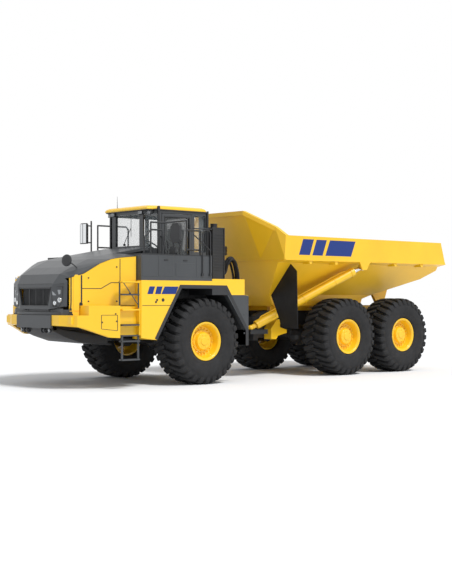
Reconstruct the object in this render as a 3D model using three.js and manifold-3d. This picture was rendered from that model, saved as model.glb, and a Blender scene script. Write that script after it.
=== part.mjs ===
// An articulated dump truck: front unit with a central cab, a hitch that steers and twists, and a
// rear unit with two driven axles on rocking beams and a tipping body.
// Millimetres, +X forward, +Y left, +Z up. Lengths along the truck are counted from the front axle.
import * as THREE from "three";
import { ConvexGeometry } from "three/addons/geometries/ConvexGeometry.js";
import { mergeVertices } from "three/addons/utils/BufferGeometryUtils.js";
import Module from "manifold-3d";

const wasm = await Module();
wasm.setup();

// ---- driving dimensions -------------------------------------------------------------------------
const seatGap = 0.3; // between two pieces that rest on each other
const runGap = 6; // round a piece that moves

const wheelbase = 4380; // front axle to middle axle
const bogieSpread = 1970; // middle axle to rear axle
const track = 2711;
const tyreRadius = 900;
const tyreWidth = 770;
const tyreSides = 28;
const rimRadius = 407;
const rimSides = 20;

const truckFront = 3155; // front face of the bumper's middle plate
const truckRear = -7990; // tip of the body's tail
const halfWidth = 1720; // outer face of the fenders

const railInner = 340;
const railOuter = 460;
const railTop = 1500;
const frontRailBottom = 1150;
const rearRailBottom = 1060;

const steerPivotX = -1300;
const steerLugTop = 1480;
const steerLugBottom = 620;
const steerPinRadius = 60;
const pivotSides = 40;
const twistHeight = 1050; // height of the hitch's lengthwise bearing
const twistRadius = 150;

const tipPivotX = -6950;
const tipPivotZ = 1600;
const tipPinRadius = 45;

const bodyRailY = 1760; // outer face of the body's side rail
const bodyRailTop = 3200;
const bodyRailBottom = 2650;
const bodyRailWidth = 110;
const bodyPlate = 16;
const bodyFloorZ = 1620;
const bodyFloorHalf = 820;
const bodyFront = { top: [-2200, 2730], bottom: [-2750, bodyFloorZ] };

const deckBottom = 2160;
const deckTop = 2210;
const deckBoxTop = 2690;
const deckFront = 1725;
const cabFloor = 2270;
const cabTop = 3660;
const roofTop = 3770;
const cabHalf = 840;
const cabWall = 60;
const cabRear = -750;

const yellow = [0xf5b60a, 0.45, 0.1];
const darkGrey = [0x45484b, 0.55, 0.1];
const black = [0x1b1c1d, 0.7, 0.1];
const rubber = [0x1d1e1f, 0.9, 0];
const bareSteel = [0xc9ccd0, 0.2, 1];
const clear = [0x9fb4bd, 0.05, 0];

// ---- shape helpers ------------------------------------------------------------------------------
function toSolid(geometry) {
  const plain = geometry.index ? geometry.toNonIndexed() : geometry.clone();
  plain.deleteAttribute("normal");
  plain.deleteAttribute("uv");
  const merged = mergeVertices(plain, 1e-3);
  return new wasm.Manifold(
    new wasm.Mesh({
      numProp: 3,
      vertProperties: merged.attributes.position.array,
      triVerts: new Uint32Array(merged.index.array),
    }),
  );
}

function toGeometry(solid) {
  const mesh = solid.getMesh();
  const geometry = new THREE.BufferGeometry();
  geometry.setAttribute("position", new THREE.BufferAttribute(mesh.vertProperties, 3));
  geometry.setIndex(new THREE.BufferAttribute(mesh.triVerts, 1));
  geometry.computeVertexNormals();
  return geometry;
}

const join = (...solids) => solids.flat().reduce((sum, solid) => sum.add(solid));
const cut = (solid, ...tools) => tools.flat().reduce((rest, tool) => rest.subtract(tool), solid);

function mirrored(solid) {
  const geometry = toGeometry(solid);
  geometry.scale(1, -1, 1);
  const index = geometry.index.array;
  for (let i = 0; i < index.length; i += 3) {
    [index[i], index[i + 1]] = [index[i + 1], index[i]];
  }
  return toSolid(geometry);
}

const bothSides = (solid) => [solid, mirrored(solid)];

function box(x0, x1, y0, y1, z0, z1) {
  const geometry = new THREE.BoxGeometry(Math.abs(x1 - x0), Math.abs(y1 - y0), Math.abs(z1 - z0));
  geometry.translate((x0 + x1) / 2, (y0 + y1) / 2, (z0 + z1) / 2);
  return toSolid(geometry);
}

// An outline in the plane across the named axis, given a depth along that axis.
function slab(axis, outline, from, to) {
  const points = outline.map(([a, b]) => new THREE.Vector2(a, b));
  if (THREE.ShapeUtils.isClockWise(points)) points.reverse();
  const geometry = new THREE.ExtrudeGeometry(new THREE.Shape(points), {
    depth: to - from,
    bevelEnabled: false,
  });
  geometry.translate(0, 0, from);
  const turn = {
    x: new THREE.Matrix4().makeBasis(unit(1), unit(2), unit(0)),
    y: new THREE.Matrix4().makeBasis(unit(2), unit(0), unit(1)),
    z: new THREE.Matrix4(),
  }[axis];
  geometry.applyMatrix4(turn);
  return toSolid(geometry);
}

function unit(axis) {
  return new THREE.Vector3(axis === 0 ? 1 : 0, axis === 1 ? 1 : 0, axis === 2 ? 1 : 0);
}

// Outlines across Y are written as (x, z); the slab helper wants (z, x) there.
const sideSlab = (outline, y0, y1) =>
  slab("y", outline.map(([x, z]) => [z, x]), y0, y1);
const frontSlab = (outline, x0, x1) => slab("x", outline, x0, x1);
const planSlab = (outline, z0, z1) => slab("z", outline, z0, z1);

// Corner radius of a faceted bore whose flats clear a round of the given radius by the seat gap.
const boreOver = (radius, sides) => (radius + seatGap) / Math.cos(Math.PI / sides);

const vector = (p) => new THREE.Vector3(...p);
const convex = (points) => toSolid(new ConvexGeometry(points.map(vector)));

function rod(from, to, radius, sides = 16) {
  const start = vector(from);
  const along = vector(to).sub(start);
  const geometry = new THREE.CylinderGeometry(radius, radius, along.length(), sides);
  geometry.translate(0, along.length() / 2, 0);
  const turn = new THREE.Quaternion().setFromUnitVectors(unit(1), along.clone().normalize());
  geometry.applyQuaternion(turn);
  geometry.translate(start.x, start.y, start.z);
  return toSolid(geometry);
}

// A round bar bent through the points, with square mitred corners.
function bar(points, radius, sides = 6) {
  const parts = [];
  for (let i = 1; i < points.length; i++) parts.push(rod(points[i - 1], points[i], radius, sides));
  for (const p of points.slice(1, -1)) {
    const knuckle = new THREE.SphereGeometry(1.02 * radius, sides, 4);
    knuckle.translate(...p);
    parts.push(toSolid(knuckle));
  }
  return join(parts);
}

function hose(points, radius, sides = 8, steps = 24) {
  const shape = new THREE.Shape();
  for (let i = 0; i < sides; i++) {
    const angle = (2 * Math.PI * i) / sides;
    const place = [radius * Math.cos(angle), radius * Math.sin(angle)];
    if (i === 0) shape.moveTo(...place);
    else shape.lineTo(...place);
  }
  const path = new THREE.CatmullRomCurve3(points.map(vector));
  return toSolid(
    new THREE.ExtrudeGeometry(shape, { steps, extrudePath: path, bevelEnabled: false }),
  );
}

// A profile of (distance out from the wheel's middle, radius) turned about the Y axis.
function turned(profile, sides, phase = 0) {
  const points = profile.map(([out, radius]) => new THREE.Vector2(radius, out));
  const closed = [...points, points[0]];
  const geometry = new THREE.LatheGeometry(closed, sides, phase);
  const solid = toSolid(geometry);
  if (solid.volume() > 0) return solid;
  return toSolid(new THREE.LatheGeometry(closed.reverse(), sides, phase));
}

const truck = new THREE.Group();
truck.position.x = -(truckFront + truckRear) / 2;

function piece(name, solid, [color, roughness, metalness], group = truck) {
  const material = new THREE.MeshStandardMaterial({ color, roughness, metalness });
  if (color === clear[0]) {
    material.transparent = true;
    material.opacity = 0.35;
  }
  const mesh = new THREE.Mesh(toGeometry(solid), material);
  mesh.name = name;
  group.add(mesh);
  return mesh;
}

function pair(name, solid, finish) {
  piece(`${name}_left`, solid, finish);
  piece(`${name}_right`, mirrored(solid), finish);
}

// ---- wheels -------------------------------------------------------------------------------------
const wheelStations = { front: 0, middle: -wheelbase, rear: -wheelbase - bogieSpread };
const wheelCentre = track / 2;
const treadCorner = tyreRadius / Math.cos(Math.PI / tyreSides); // a flat of the tread faces down
const hubRadius = 190;
const hubFace = 150; // hub's outer face, outboard of the tyre's middle
const rimDisc = 30;

function makeTyre() {
  const half = tyreWidth / 2;
  const bead = boreOver(rimRadius, tyreSides);
  return turned(
    [
      [-250, bead],
      [-330, bead + 30],
      [-half, bead + 180],
      [-half + 20, treadCorner - 90],
      [-half + 110, treadCorner],
      [half - 110, treadCorner],
      [half - 20, treadCorner - 90],
      [half, bead + 180],
      [330, bead + 30],
      [250, bead],
    ],
    tyreSides,
    Math.PI / tyreSides,
  );
}

function makeRim() {
  const outer = rimRadius;
  return turned(
    [
      [-245, outer],
      [245, outer],
      [318, outer],
      [318, outer - 55],
      [hubFace + rimDisc + 20, outer - 75],
      [hubFace + rimDisc, 0.5 * outer],
      [hubFace + rimDisc, 0],
      [hubFace + seatGap, 0],
      [hubFace + seatGap, hubRadius + 40],
      [hubFace - 40, outer - 60],
      [-245, outer - 40],
    ],
    rimSides,
  );
}

const tyre = makeTyre();
const rim = makeRim();
for (const [axle, station] of Object.entries(wheelStations)) {
  for (const [side, sign] of [["left", 1], ["right", -1]]) {
    const wheel = new THREE.Group();
    wheel.position.set(station, sign * wheelCentre, tyreRadius);
    truck.add(wheel);
    piece(`tyre_${axle}_${side}`, sign > 0 ? tyre : mirrored(tyre), rubber, wheel);
    piece(`rim_${axle}_${side}`, sign > 0 ? rim : mirrored(rim), yellow, wheel);
  }
}

// ---- axles --------------------------------------------------------------------------------------
const axleTube = 130;
const diffRadius = 260;

function axleHousing(station) {
  const across = rod([station, -1150, tyreRadius], [station, 1150, tyreRadius], axleTube, 16);
  const diff = new THREE.SphereGeometry(diffRadius, 12, 8);
  diff.translate(station, 0, tyreRadius);
  const hub = rod(
    [station, 1100, tyreRadius],
    [station, wheelCentre + hubFace, tyreRadius],
    hubRadius,
    20,
  );
  return join(across, toSolid(diff), bothSides(hub));
}

const strutY = 760;
const strutRadius = 70;
const strutTop = 1400;
const armFront = 1300;
const armTop = tyreRadius + 140;
piece(
  "front_axle",
  join(
    axleHousing(0),
    bothSides(rod([0, strutY, tyreRadius + 20], [0, strutY, strutTop - seatGap], strutRadius)),
    bothSides(bar([[60, 420, tyreRadius - 50], [armFront, 120, tyreRadius + 60]], 50, 8)),
    box(armFront - 70, armFront + 70, -190, 190, tyreRadius, armTop),
  ),
  black,
);

const beamY = 600;
const beamHalf = 70;
const beamPivotX = -wheelbase - bogieSpread / 2;
const beamPivotZ = 1230;
const beamFoot = 1060;
function drivenAxle(station) {
  const pads = box(
    station - 130,
    station + 130,
    beamY - 80,
    beamY + 80,
    tyreRadius + 50,
    beamFoot - seatGap,
  );
  return join(axleHousing(station), bothSides(pads));
}
piece("middle_axle", drivenAxle(wheelStations.middle), black);
piece("rear_axle", drivenAxle(wheelStations.rear), black);

function bogieBeam() {
  const outline = [
    [wheelStations.middle + 140, beamFoot],
    [wheelStations.middle + 140, beamFoot + 80],
    [beamPivotX + 260, beamPivotZ + 130],
    [beamPivotX - 260, beamPivotZ + 130],
    [wheelStations.rear - 140, beamFoot + 80],
    [wheelStations.rear - 140, beamFoot],
    [wheelStations.rear + 160, beamFoot],
    [beamPivotX - 200, beamPivotZ - 120],
    [beamPivotX + 200, beamPivotZ - 120],
    [wheelStations.middle - 160, beamFoot],
  ];
  return join(
    sideSlab(outline, beamY - beamHalf, beamY + beamHalf),
    rod(
      [beamPivotX, railOuter + seatGap, beamPivotZ],
      [beamPivotX, beamY + beamHalf + 40, beamPivotZ],
      100,
    ),
  );
}
pair("bogie_beam", bogieBeam(), black);

const shaftZ = tyreRadius + 20;
piece(
  "rear_drive_shaft",
  rod(
    [wheelStations.middle - diffRadius - seatGap, 0, shaftZ],
    [wheelStations.rear + diffRadius + seatGap, 0, shaftZ],
    50,
  ),
  black,
);

// ---- front frame --------------------------------------------------------------------------------
const frameFront = 2900;
const towerFront = -560;
const towerRear = -1080;
const towerHalf = 230;
const lugReach = 190;
const steerBallX = -230;
const steerBallY = 690;
const steerZ = 1230;
const steerEyeHalf = 50;
const steerPin = 34;

function steerLug(z0, z1) {
  const plate = box(steerPivotX, towerRear + 20, -towerHalf + 20, towerHalf - 20, z0, z1);
  return join(plate, rod([steerPivotX, 0, z0], [steerPivotX, 0, z1], lugReach, 20));
}

function steerBracket() {
  const bracket = box(
    steerBallX - 70,
    steerBallX + 70,
    railOuter - 20,
    steerBallY + 60,
    steerZ - 110,
    steerZ - steerEyeHalf - seatGap,
  );
  return join(
    bracket,
    rod([steerBallX, steerBallY, steerZ - 100], [steerBallX, steerBallY, steerZ + 70], steerPin, 20),
  );
}

function makeFrontFrame() {
  const rail = sideSlab(
    [
      [frameFront, frontRailBottom],
      [frameFront, railTop],
      [towerFront - 120, railTop],
      [towerFront - 120, frontRailBottom],
    ],
    railInner,
    railOuter,
  );
  const crossXs = [2820, armFront, 700, towerFront - 60];
  const crossMembers = crossXs.map((x) =>
    box(x - 60, x + 60, -railInner - 10, railInner + 10, frontRailBottom + 20, railTop - 40),
  );
  const tower = join(
    box(towerRear, towerFront, -towerHalf, towerHalf, steerLugBottom, railTop - 20),
    box(towerFront - 120, towerFront, -railInner - 10, railInner + 10, 1160, 1480),
  );
  const axleHanger = box(armFront - 60, armFront + 60, -150, 150, armTop + seatGap, 1200);
  const strutBracket = box(-100, 100, railOuter - 20, strutY + 80, strutTop, railTop);
  return join(
    bothSides(rail),
    crossMembers,
    tower,
    axleHanger,
    bothSides(strutBracket),
    bothSides(steerBracket()),
    steerLug(steerLugTop - 80, steerLugTop),
    steerLug(steerLugBottom, steerLugBottom + 80),
    rod(
      [steerPivotX, 0, steerLugBottom + 10],
      [steerPivotX, 0, steerLugTop - 10],
      steerPinRadius,
      32,
    ),
  );
}
piece("front_frame", makeFrontFrame(), black);

const engine = { rear: 1150, front: 2550, half: 440, top: 2200 };
piece(
  "engine_block",
  box(engine.rear, engine.front, -engine.half, engine.half, railTop + seatGap, engine.top),
  black,
);

// ---- front bumper and belly ---------------------------------------------------------------------
const bumperTop = 1465;
const ledgeTop = 1655;
const ledgeStart = 2775;
const plateHalf = 650;
const plateBack = 3095;
const bumperCorner = [2970, 1320];
const recessFront = 2238;

function makeBumper() {
  const plan = [
    [3130, plateHalf + seatGap],
    [3120, 900],
    bumperCorner,
    [recessFront, halfWidth],
    [recessFront, halfWidth - 90],
    [2890, 1240],
    [3030, 860],
    [3040, plateHalf + seatGap],
  ];
  const side = [
    [3200, 1270],
    [3200, bumperTop],
    [ledgeStart, bumperTop],
    [ledgeStart, ledgeTop],
    [2200, ledgeTop],
    [2200, 1020],
    [2400, 1030],
    [2900, 1230],
  ];
  const skin = planSlab(plan, 1000, ledgeTop).intersect(sideSlab(side, 0, 2000));
  const backBar = box(2905, plateBack - 65 - seatGap, 0, 700, 1290, 1440);
  const ledge = planSlab(
    [
      [ledgeStart - 5, 1040],
      [ledgeStart - 5, 1380],
      [recessFront, halfWidth - 60],
      [recessFront, 1300],
    ],
    ledgeTop - 35,
    ledgeTop,
  );
  const noseLedge = planSlab(
    [
      [3035, plateHalf + seatGap],
      [3035, 900],
      [2900, 1260],
      [ledgeStart - 20, 1330],
      [ledgeStart - 20, 1040],
      [2900, plateHalf + seatGap],
    ],
    bumperTop - 35,
    bumperTop,
  );
  const riser = planSlab(
    [
      [ledgeStart - 20, 1040],
      [ledgeStart - 20, 1380],
      [ledgeStart - 5, 1380],
      [ledgeStart - 5, 1040],
    ],
    bumperTop - 30,
    ledgeTop,
  );
  const reach = box(2905, 3050, 640, 1225, 1290, 1440);
  return join([skin, backBar, reach, ledge, noseLedge, riser].flatMap(bothSides));
}
piece("bumper", makeBumper(), yellow);

const hoodHinge = [3060, 1600];
const hingeY = 400;
const hingePin = 15;

function makeFrontPlate() {
  const [hingeX, hingeZ] = hoodHinge;
  const hingePost = join(
    box(plateBack - 95, hingeX - 22, hingeY - 25, hingeY + 25, bumperTop + 10, hingeZ + 17),
    box(plateBack - 95, hingeX + 11, hingeY - 25, hingeY + 25, bumperTop + 10, hingeZ - 75),
    box(plateBack - 65, hingeX + 11, hingeY - 25, hingeY + 25, 1400, hingeZ - 75),
    box(hingeX - 40, hingeX, hingeY - 25, hingeY + 25, hingeZ - 17, hingeZ + 17),
    rod([hingeX, hingeY - 25, hingeZ], [hingeX, hingeY + 25, hingeZ], 17, 16),
    rod([hingeX, hingeY, hingeZ], [hingeX, hingeY + 75, hingeZ], hingePin, 16),
    box(plateBack - 65, plateBack + 15, hingeY - 25, hingeY + 25, 1300, 1440),
  );
  const middle = box(plateBack, truckFront, -plateHalf, plateHalf, 1200, bumperTop);
  const belly = sideSlab(
    [
      [3120, 1200],
      [3120, 1230],
      [3060, 1230],
      [2420, 840],
      [1650, 840],
      [1650, 800],
      [2400, 800],
    ],
    -600,
    600,
  );
  const web = sideSlab(
    [
      [1750, 830],
      [1750, frontRailBottom - seatGap],
      [2850, frontRailBottom - seatGap],
      [2430, 840],
    ],
    railInner + 20,
    railOuter - 20,
  );
  const towEye = cut(
    box(3060, 3140, 250, 290, 1110, 1230),
    rod([3105, 200, 1150], [3105, 340, 1150], 22, 12),
  );
  const towEyes = [towEye, towEye.translate([0, 110, 0])];
  return join(middle, belly, bothSides(web), bothSides(hingePost), ...towEyes.flatMap(bothSides));
}
piece("front_plate", makeFrontPlate(), darkGrey);

// ---- nose, hood and side panels -----------------------------------------------------------------
const hoodRear = 880;
const hoodSheet = 45;
const noseBottom = 1580;
const noseBack = 2985;
const panelFront = [2960, 1030];
const panelKnee = [2700, 1150];
const panelRear = [deckFront + 15, 1565];
const panelSheet = 45;
// Height of the line where the yellow side panels meet the dark hood, at stations along the truck.
const parting = [
  [2700, 2285],
  [2400, 2490],
  [2200, 2575],
  [2050, 2605],
  [deckFront + 15, 2635],
];

const panelSlope = (panelRear[1] - panelKnee[1]) / (panelKnee[0] - panelRear[0]);
const panelOuter = (x) => panelKnee[1] + panelSlope * (panelKnee[0] - x);
const hoodLip = 6; // the hood's skin stands this far outboard of the panels under it

function hoodHull(inset) {
  const top = [
    [3120, 2075, 660],
    [2990, 2280, 720],
    [2730, 2425, 740],
    [2360, 2585, 760],
    [2070, 2665, 770],
    [hoodRear, 2880, 780],
  ];
  const sides = [
    [3125, noseBottom, 560],
    [3040, 1640, 950],
    [3025, 2100, 970],
    [2920, 2215, 1030],
    [2700, 2300, 1150],
    ...parting.slice(1).map(([x, z]) => [x, z + hoodLip, panelOuter(x) + hoodLip]),
    [2200, noseBottom, 1370],
    [deckFront + 15, noseBottom, 1575],
    [hoodRear, 2660, 1575],
    [hoodRear, noseBottom, 1575],
  ];
  const points = [...top, ...sides].flatMap(([x, z, y]) => {
    return [
      [x - inset, y - inset, z - inset],
      [x - inset, inset - y, z - inset],
    ];
  });
  return convex(points);
}

function makeHood() {
  const shell = cut(hoodHull(0), hoodHull(hoodSheet));
  const above = sideSlab(
    [
      [3300, noseBottom - 20],
      [noseBack, noseBottom - 20],
      [noseBack, 2190],
      ...parting.map(([x, z]) => [x, z + runGap]),
      [hoodRear, 2650],
      [hoodRear, 3100],
      [3300, 3100],
    ],
    -2000,
    2000,
  );
  const plan = planSlab(
    [
      [3300, -2000],
      [3300, 2000],
      [deckFront + runGap, 2000],
      [deckFront + runGap, cabHalf],
      [hoodRear, cabHalf],
      [hoodRear, -cabHalf],
      [deckFront + runGap, -cabHalf],
      [deckFront + runGap, -2000],
    ],
    1000,
    3300,
  );
  const grilleHole = frontSlab(
    [
      [-500, 1650],
      [500, 1650],
      [590, 2005],
      [-590, 2005],
    ],
    3000,
    3300,
  );
  const ear = cut(
    box(hoodHinge[0] - 35, hoodHinge[0] + 35, hingeY + 35, hingeY + 65, noseBottom - 15, 1620),
    rod([hoodHinge[0], 0, hoodHinge[1]], [hoodHinge[0], 900, hoodHinge[1]], boreOver(hingePin, 16), 16),
  );
  return join(
    cut(shell.intersect(above).intersect(plan), grilleHole),
    bothSides(ear),
  );
}
piece("hood", makeHood(), darkGrey);
piece(
  "grille",
  hoodHull(hoodSheet + seatGap).intersect(box(3030, 3100, -560, 560, 1625, 2030)),
  black,
);

function makeSidePanel() {
  const plan = [
    panelFront,
    panelKnee,
    panelRear,
    [panelRear[0], panelRear[1] - panelSheet],
    [panelKnee[0] - 15, panelKnee[1] - panelSheet],
    [panelFront[0] - 15, panelFront[1] - panelSheet],
  ];
  const side = [
    [noseBack - runGap, bumperTop + seatGap],
    [noseBack - runGap, 2185],
    ...parting.map(([x, z]) => [x, z - 2]),
    [deckFront + 15, ledgeTop + seatGap],
    [ledgeStart + 10, ledgeTop + seatGap],
    [ledgeStart + 10, bumperTop + seatGap],
  ];
  return planSlab(plan, 1400, 2700).intersect(sideSlab(side, 0, 2000));
}
pair("side_panel", makeSidePanel(), yellow);

// ---- fenders, deck and steps --------------------------------------------------------------------
const fenderSheet = 40;
const fenderInner = 960; // just inboard of the tyre
const arch = [
  [1333, 960],
  [700, 2010],
  [-500, 2006],
  [-1080, 1120],
];
const fenderTop = deckBottom - seatGap;
const rearBlock = { front: -130, rear: -1040, bottom: 1874, top: 2205 };

function makeFender() {
  const skirt = sideSlab(
    [
      [deckFront, 1010],
      [arch[0][0], arch[0][1]],
      arch[1],
      arch[2],
      arch[3],
      [-1080, 790],
      [-1150, 790],
      [-1150, 1860],
      [rearBlock.rear, rearBlock.bottom],
      [rearBlock.rear, fenderTop],
      [deckFront, fenderTop],
    ],
    halfWidth - fenderSheet,
    halfWidth,
  );
  const inner = [
    [arch[1][0] + 60, arch[1][1] + 60],
    [arch[2][0] - 40, arch[2][1] + 60],
  ];
  const lining = sideSlab(
    [
      arch[0],
      arch[1],
      arch[2],
      arch[3],
      [-1080, 790],
      [-1120, 790],
      [-1120, 1140],
      inner[1],
      inner[0],
      [arch[0][0] + 50, arch[0][1] + 20],
    ],
    fenderInner,
    halfWidth - 5,
  );
  const block = box(
    rearBlock.rear,
    rearBlock.front,
    fenderInner,
    halfWidth,
    rearBlock.bottom,
    rearBlock.top,
  );
  const front = box(deckFront - 40, deckFront, panelRear[1] - 60, halfWidth, 1010, fenderTop);
  const post = box(600, 660, fenderInner, 1060, 2040, fenderTop);
  return join(skirt, lining, block, front, post);
}
pair("fender", makeFender(), yellow);

const deckInnerHalf = fenderInner - 10;
const deckRear = -1130;
const boxSheet = 30;
const legX = [-450, 600];

function makeDeck() {
  const floor = box(rearBlock.front + 10, hoodRear - 20, -halfWidth, halfWidth, deckBottom, deckTop);
  const tail = box(deckRear, 0, -deckInnerHalf, deckInnerHalf, deckBottom, deckTop);
  const bin = cut(
    box(hoodRear - 30, deckFront, cabHalf + 10, halfWidth, deckBottom, deckBoxTop),
    box(
      hoodRear,
      deckFront - boxSheet,
      cabHalf + 10 + boxSheet,
      halfWidth - boxSheet,
      deckBottom - 10,
      deckBoxTop - boxSheet,
    ),
  );
  const skirt = box(rearBlock.front + 10, hoodRear, halfWidth - boxSheet, halfWidth, deckBottom, deckBoxTop);
  const legs = legX.map((x) => box(x - 50, x + 50, railInner, railOuter, railTop + seatGap, deckBottom + 5));
  return join(floor, tail, bothSides(bin), bothSides(skirt), legs.flatMap(bothSides));
}
piece("deck", makeDeck(), darkGrey);

const stepHeights = [1270, 1570, 1870, 2120];
const ladderTop = 2140;
const lowStep = 585;
const stepFront = recessFront - 20;
const stepRear = deckFront + seatGap;

function makeLadder(hanging) {
  const back = box(stepRear, stepFront, 1575, 1600, 1060, 1640);
  const riser = box(stepRear, stepRear + 30, 1575, halfWidth - 20, 1060, ladderTop);
  const treads = stepHeights.map((z) => box(stepRear, stepFront - 40, 1575, halfWidth - 10, z - 15, z + 15));
  const hangers = [stepRear + 30, stepFront - 70].map((x) =>
    box(x - 20, x + 20, 1640, 1670, lowStep, 1080),
  );
  const lowTreads = [lowStep, 950].map((z) =>
    box(stepRear + 10, stepFront - 50, 1570, 1700, z - 18, z + 18),
  );
  const outer = box(stepFront - 70, stepFront - 40, 1575, 1600, 1640, ladderTop);
  const base = box(stepRear, stepFront - 40, 1575, 1680, 1045, 1075);
  return join(back, riser, outer, treads, base, hanging ? [...hangers, ...lowTreads] : []);
}
piece("ladder_left", makeLadder(true), darkGrey);
piece("ladder_right", mirrored(makeLadder(false)), darkGrey);

// ---- cab ----------------------------------------------------------------------------------------
const cabNose = 810;
const cabNoseHalf = 574;
const cabShoulder = 600;
const cabBottom = deckTop + seatGap;
const glassBottom = 2920;
const glassTop = 3590;
const glassSheet = 8;
const doorFront = 520;
const doorRear = -300;
const doorBottom = 2330;
const doorTop = 3600;

// From well inside the cab's side wall to well outside it, for the cuts through the wall.
const wallReach = [cabHalf - cabWall - 80, cabHalf + 60];

function cabPlan(inset) {
  return [
    [cabNose - inset, cabNoseHalf - 0.6 * inset],
    [cabShoulder - 0.4 * inset, cabHalf - inset],
    [cabRear + inset, cabHalf - inset],
    [cabRear + inset, inset - cabHalf],
    [cabShoulder - 0.4 * inset, inset - cabHalf],
    [cabNose - inset, 0.6 * inset - cabNoseHalf],
  ];
}

const frontPillar = 430; // half-width of the windscreen
const rearWindow = { half: 600, bottom: 2800 };
const sideWindow = { front: -370, rear: -690, bottom: 2800 };

function windowCuts() {
  const windscreen = box(600, 900, -frontPillar, frontPillar, glassBottom, glassTop);
  const cornerFrom = [cabNose + 60, cabNoseHalf + 20];
  const cornerTo = [cabShoulder + 60, cabHalf - 10];
  const corner = planSlab(
    [
      [cornerFrom[0], cornerFrom[1]],
      [cornerTo[0], cornerTo[1] + 40],
      [cornerTo[0] - 180, cornerTo[1] - 100],
      [cornerFrom[0] - 180, cornerFrom[1] - 100],
    ],
    glassBottom - 60,
    glassTop,
  );
  const side = box(sideWindow.rear, sideWindow.front, ...wallReach, sideWindow.bottom, glassTop);
  const rear = box(-900, -600, -rearWindow.half, rearWindow.half, rearWindow.bottom, glassTop);
  const [near, far] = wallReach;
  const rightWindow = box(doorRear, doorFront, -far, -near, 2640, glassTop);
  return [windscreen, rear, rightWindow, bothSides(corner), bothSides(side)];
}

function makeCabShell() {
  const outer = planSlab(cabPlan(0), cabBottom, cabTop);
  const inner = planSlab(cabPlan(cabWall), cabFloor, cabTop + 100);
  const doorway = box(doorRear, doorFront, ...wallReach, doorBottom, doorTop);
  return cut(outer, inner, ...windowCuts(), doorway);
}
piece("cab_shell", makeCabShell(), darkGrey);

function makeRoof() {
  const crown = convex(
    [
      [720, cabHalf + 20, cabTop + seatGap],
      [-760, cabHalf + 30, cabTop + seatGap],
      [720, cabHalf + 20, roofTop - 50],
      [-760, cabHalf + 30, roofTop - 70],
      [660, cabHalf - 60, roofTop],
      [-700, cabHalf - 50, roofTop - 30],
    ].flatMap(([x, y, z]) => [
      [x, y, z],
      [x, -y, z],
    ]),
  );
  const visor = box(680, 860, -640, 640, cabTop + seatGap, cabTop + 45);
  const mast = rod([600, -660, 3700], [600, -660, 4050], 7, 8);
  return join(crown, visor, mast);
}
piece("cab_roof", makeRoof(), yellow);

// The windows are one band of sheet inside the pillars, open at the doorway.
function makeCabGlass() {
  const pane = (inset) => planSlab(cabPlan(cabWall + inset), 2600, glassTop + 40);
  const band = cut(pane(seatGap), planSlab(cabPlan(cabWall + seatGap + glassSheet), 2500, 3800));
  const doorway = box(doorRear - 30, doorFront + 30, cabHalf - 240, wallReach[1], 2500, 3800);
  return cut(band, doorway);
}
piece("cab_glass", makeCabGlass(), clear);

const doorPin = 14;
const doorHinge = [doorRear - 4, cabHalf + doorPin + seatGap];

function doorOutline(inset) {
  return [
    [doorFront - inset, doorBottom + inset],
    [doorFront - inset, doorTop - inset],
    [doorRear + inset, doorTop - inset],
    [doorRear + inset, doorBottom + inset],
  ];
}

const doorFrame = 70;
function makeDoor() {
  const panel = sideSlab(doorOutline(runGap), cabHalf - cabWall + 10, cabHalf);
  const hinges = [doorBottom + 200, doorTop - 300].map((z) =>
    join(
      rod([doorHinge[0], doorHinge[1], z], [doorHinge[0], doorHinge[1], z + 90], doorPin, 12),
      box(doorRear + runGap, doorRear + 60, cabHalf - 4, doorHinge[1] + 6, z, z + 90),
      box(doorHinge[0], doorRear + 20, cabHalf + seatGap, doorHinge[1] + 6, z, z + 90),
    ),
  );
  const opening = box(
    doorRear + doorFrame,
    doorFront - doorFrame,
    ...wallReach,
    2560,
    doorTop - doorFrame,
  );
  const handle = box(doorFront - 60, doorFront - 35, cabHalf - 5, cabHalf + 30, 2450, 2530);
  return join(cut(panel, opening), hinges, handle);
}
piece("cab_door", makeDoor(), darkGrey);
piece(
  "door_glass",
  box(
    doorRear + doorFrame + seatGap,
    doorFront - doorFrame - seatGap,
    cabHalf - 40,
    cabHalf - 32,
    2560 + seatGap,
    doorTop - doorFrame - seatGap,
  ),
  clear,
);

const seatX = -250;
function makeSeat() {
  return join(
    box(seatX - 180, seatX + 200, -200, 200, cabFloor + seatGap, 2620),
    box(seatX - 230, seatX + 260, -260, 260, 2600, 2730),
    convex(
      [
        [seatX - 240, 2700],
        [seatX - 130, 2700],
        [seatX - 330, 3320],
        [seatX - 240, 3320],
      ].flatMap(([x, z]) => [
        [x, 240, z],
        [x, -240, z],
      ]),
    ),
  );
}
piece("seat", makeSeat(), black);

const dash = { front: 690, rear: 420, top: 2860 };
piece(
  "dashboard",
  sideSlab(
    [
      [dash.front, cabFloor + seatGap],
      [dash.front, dash.top - 10],
      [dash.rear + 120, dash.top + 40],
      [dash.rear, dash.top - 40],
      [dash.rear, 2600],
      [dash.rear + 120, 2500],
      [dash.rear + 120, cabFloor + seatGap],
    ],
    -500,
    500,
  ),
  darkGrey,
);

function makeSteeringWheel() {
  const ring = new THREE.TorusGeometry(210, 16, 6, 16);
  const spoke = new THREE.BoxGeometry(400, 40, 14);
  const hub = new THREE.CylinderGeometry(45, 45, 60, 12);
  hub.rotateX(Math.PI / 2);
  const column = new THREE.CylinderGeometry(26, 26, 450, 12);
  column.rotateX(Math.PI / 2);
  column.translate(0, 0, -225);
  const wheel = join([ring, spoke, hub, column].map(toSolid));
  const geometry = toGeometry(wheel);
  geometry.rotateY(-0.5);
  geometry.translate(220, 0, 2960);
  return cut(toSolid(geometry), box(dash.rear - seatGap, dash.rear + 300, -200, 200, 2300, 2900));
}
piece("steering_wheel", makeSteeringWheel(), black);

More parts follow.
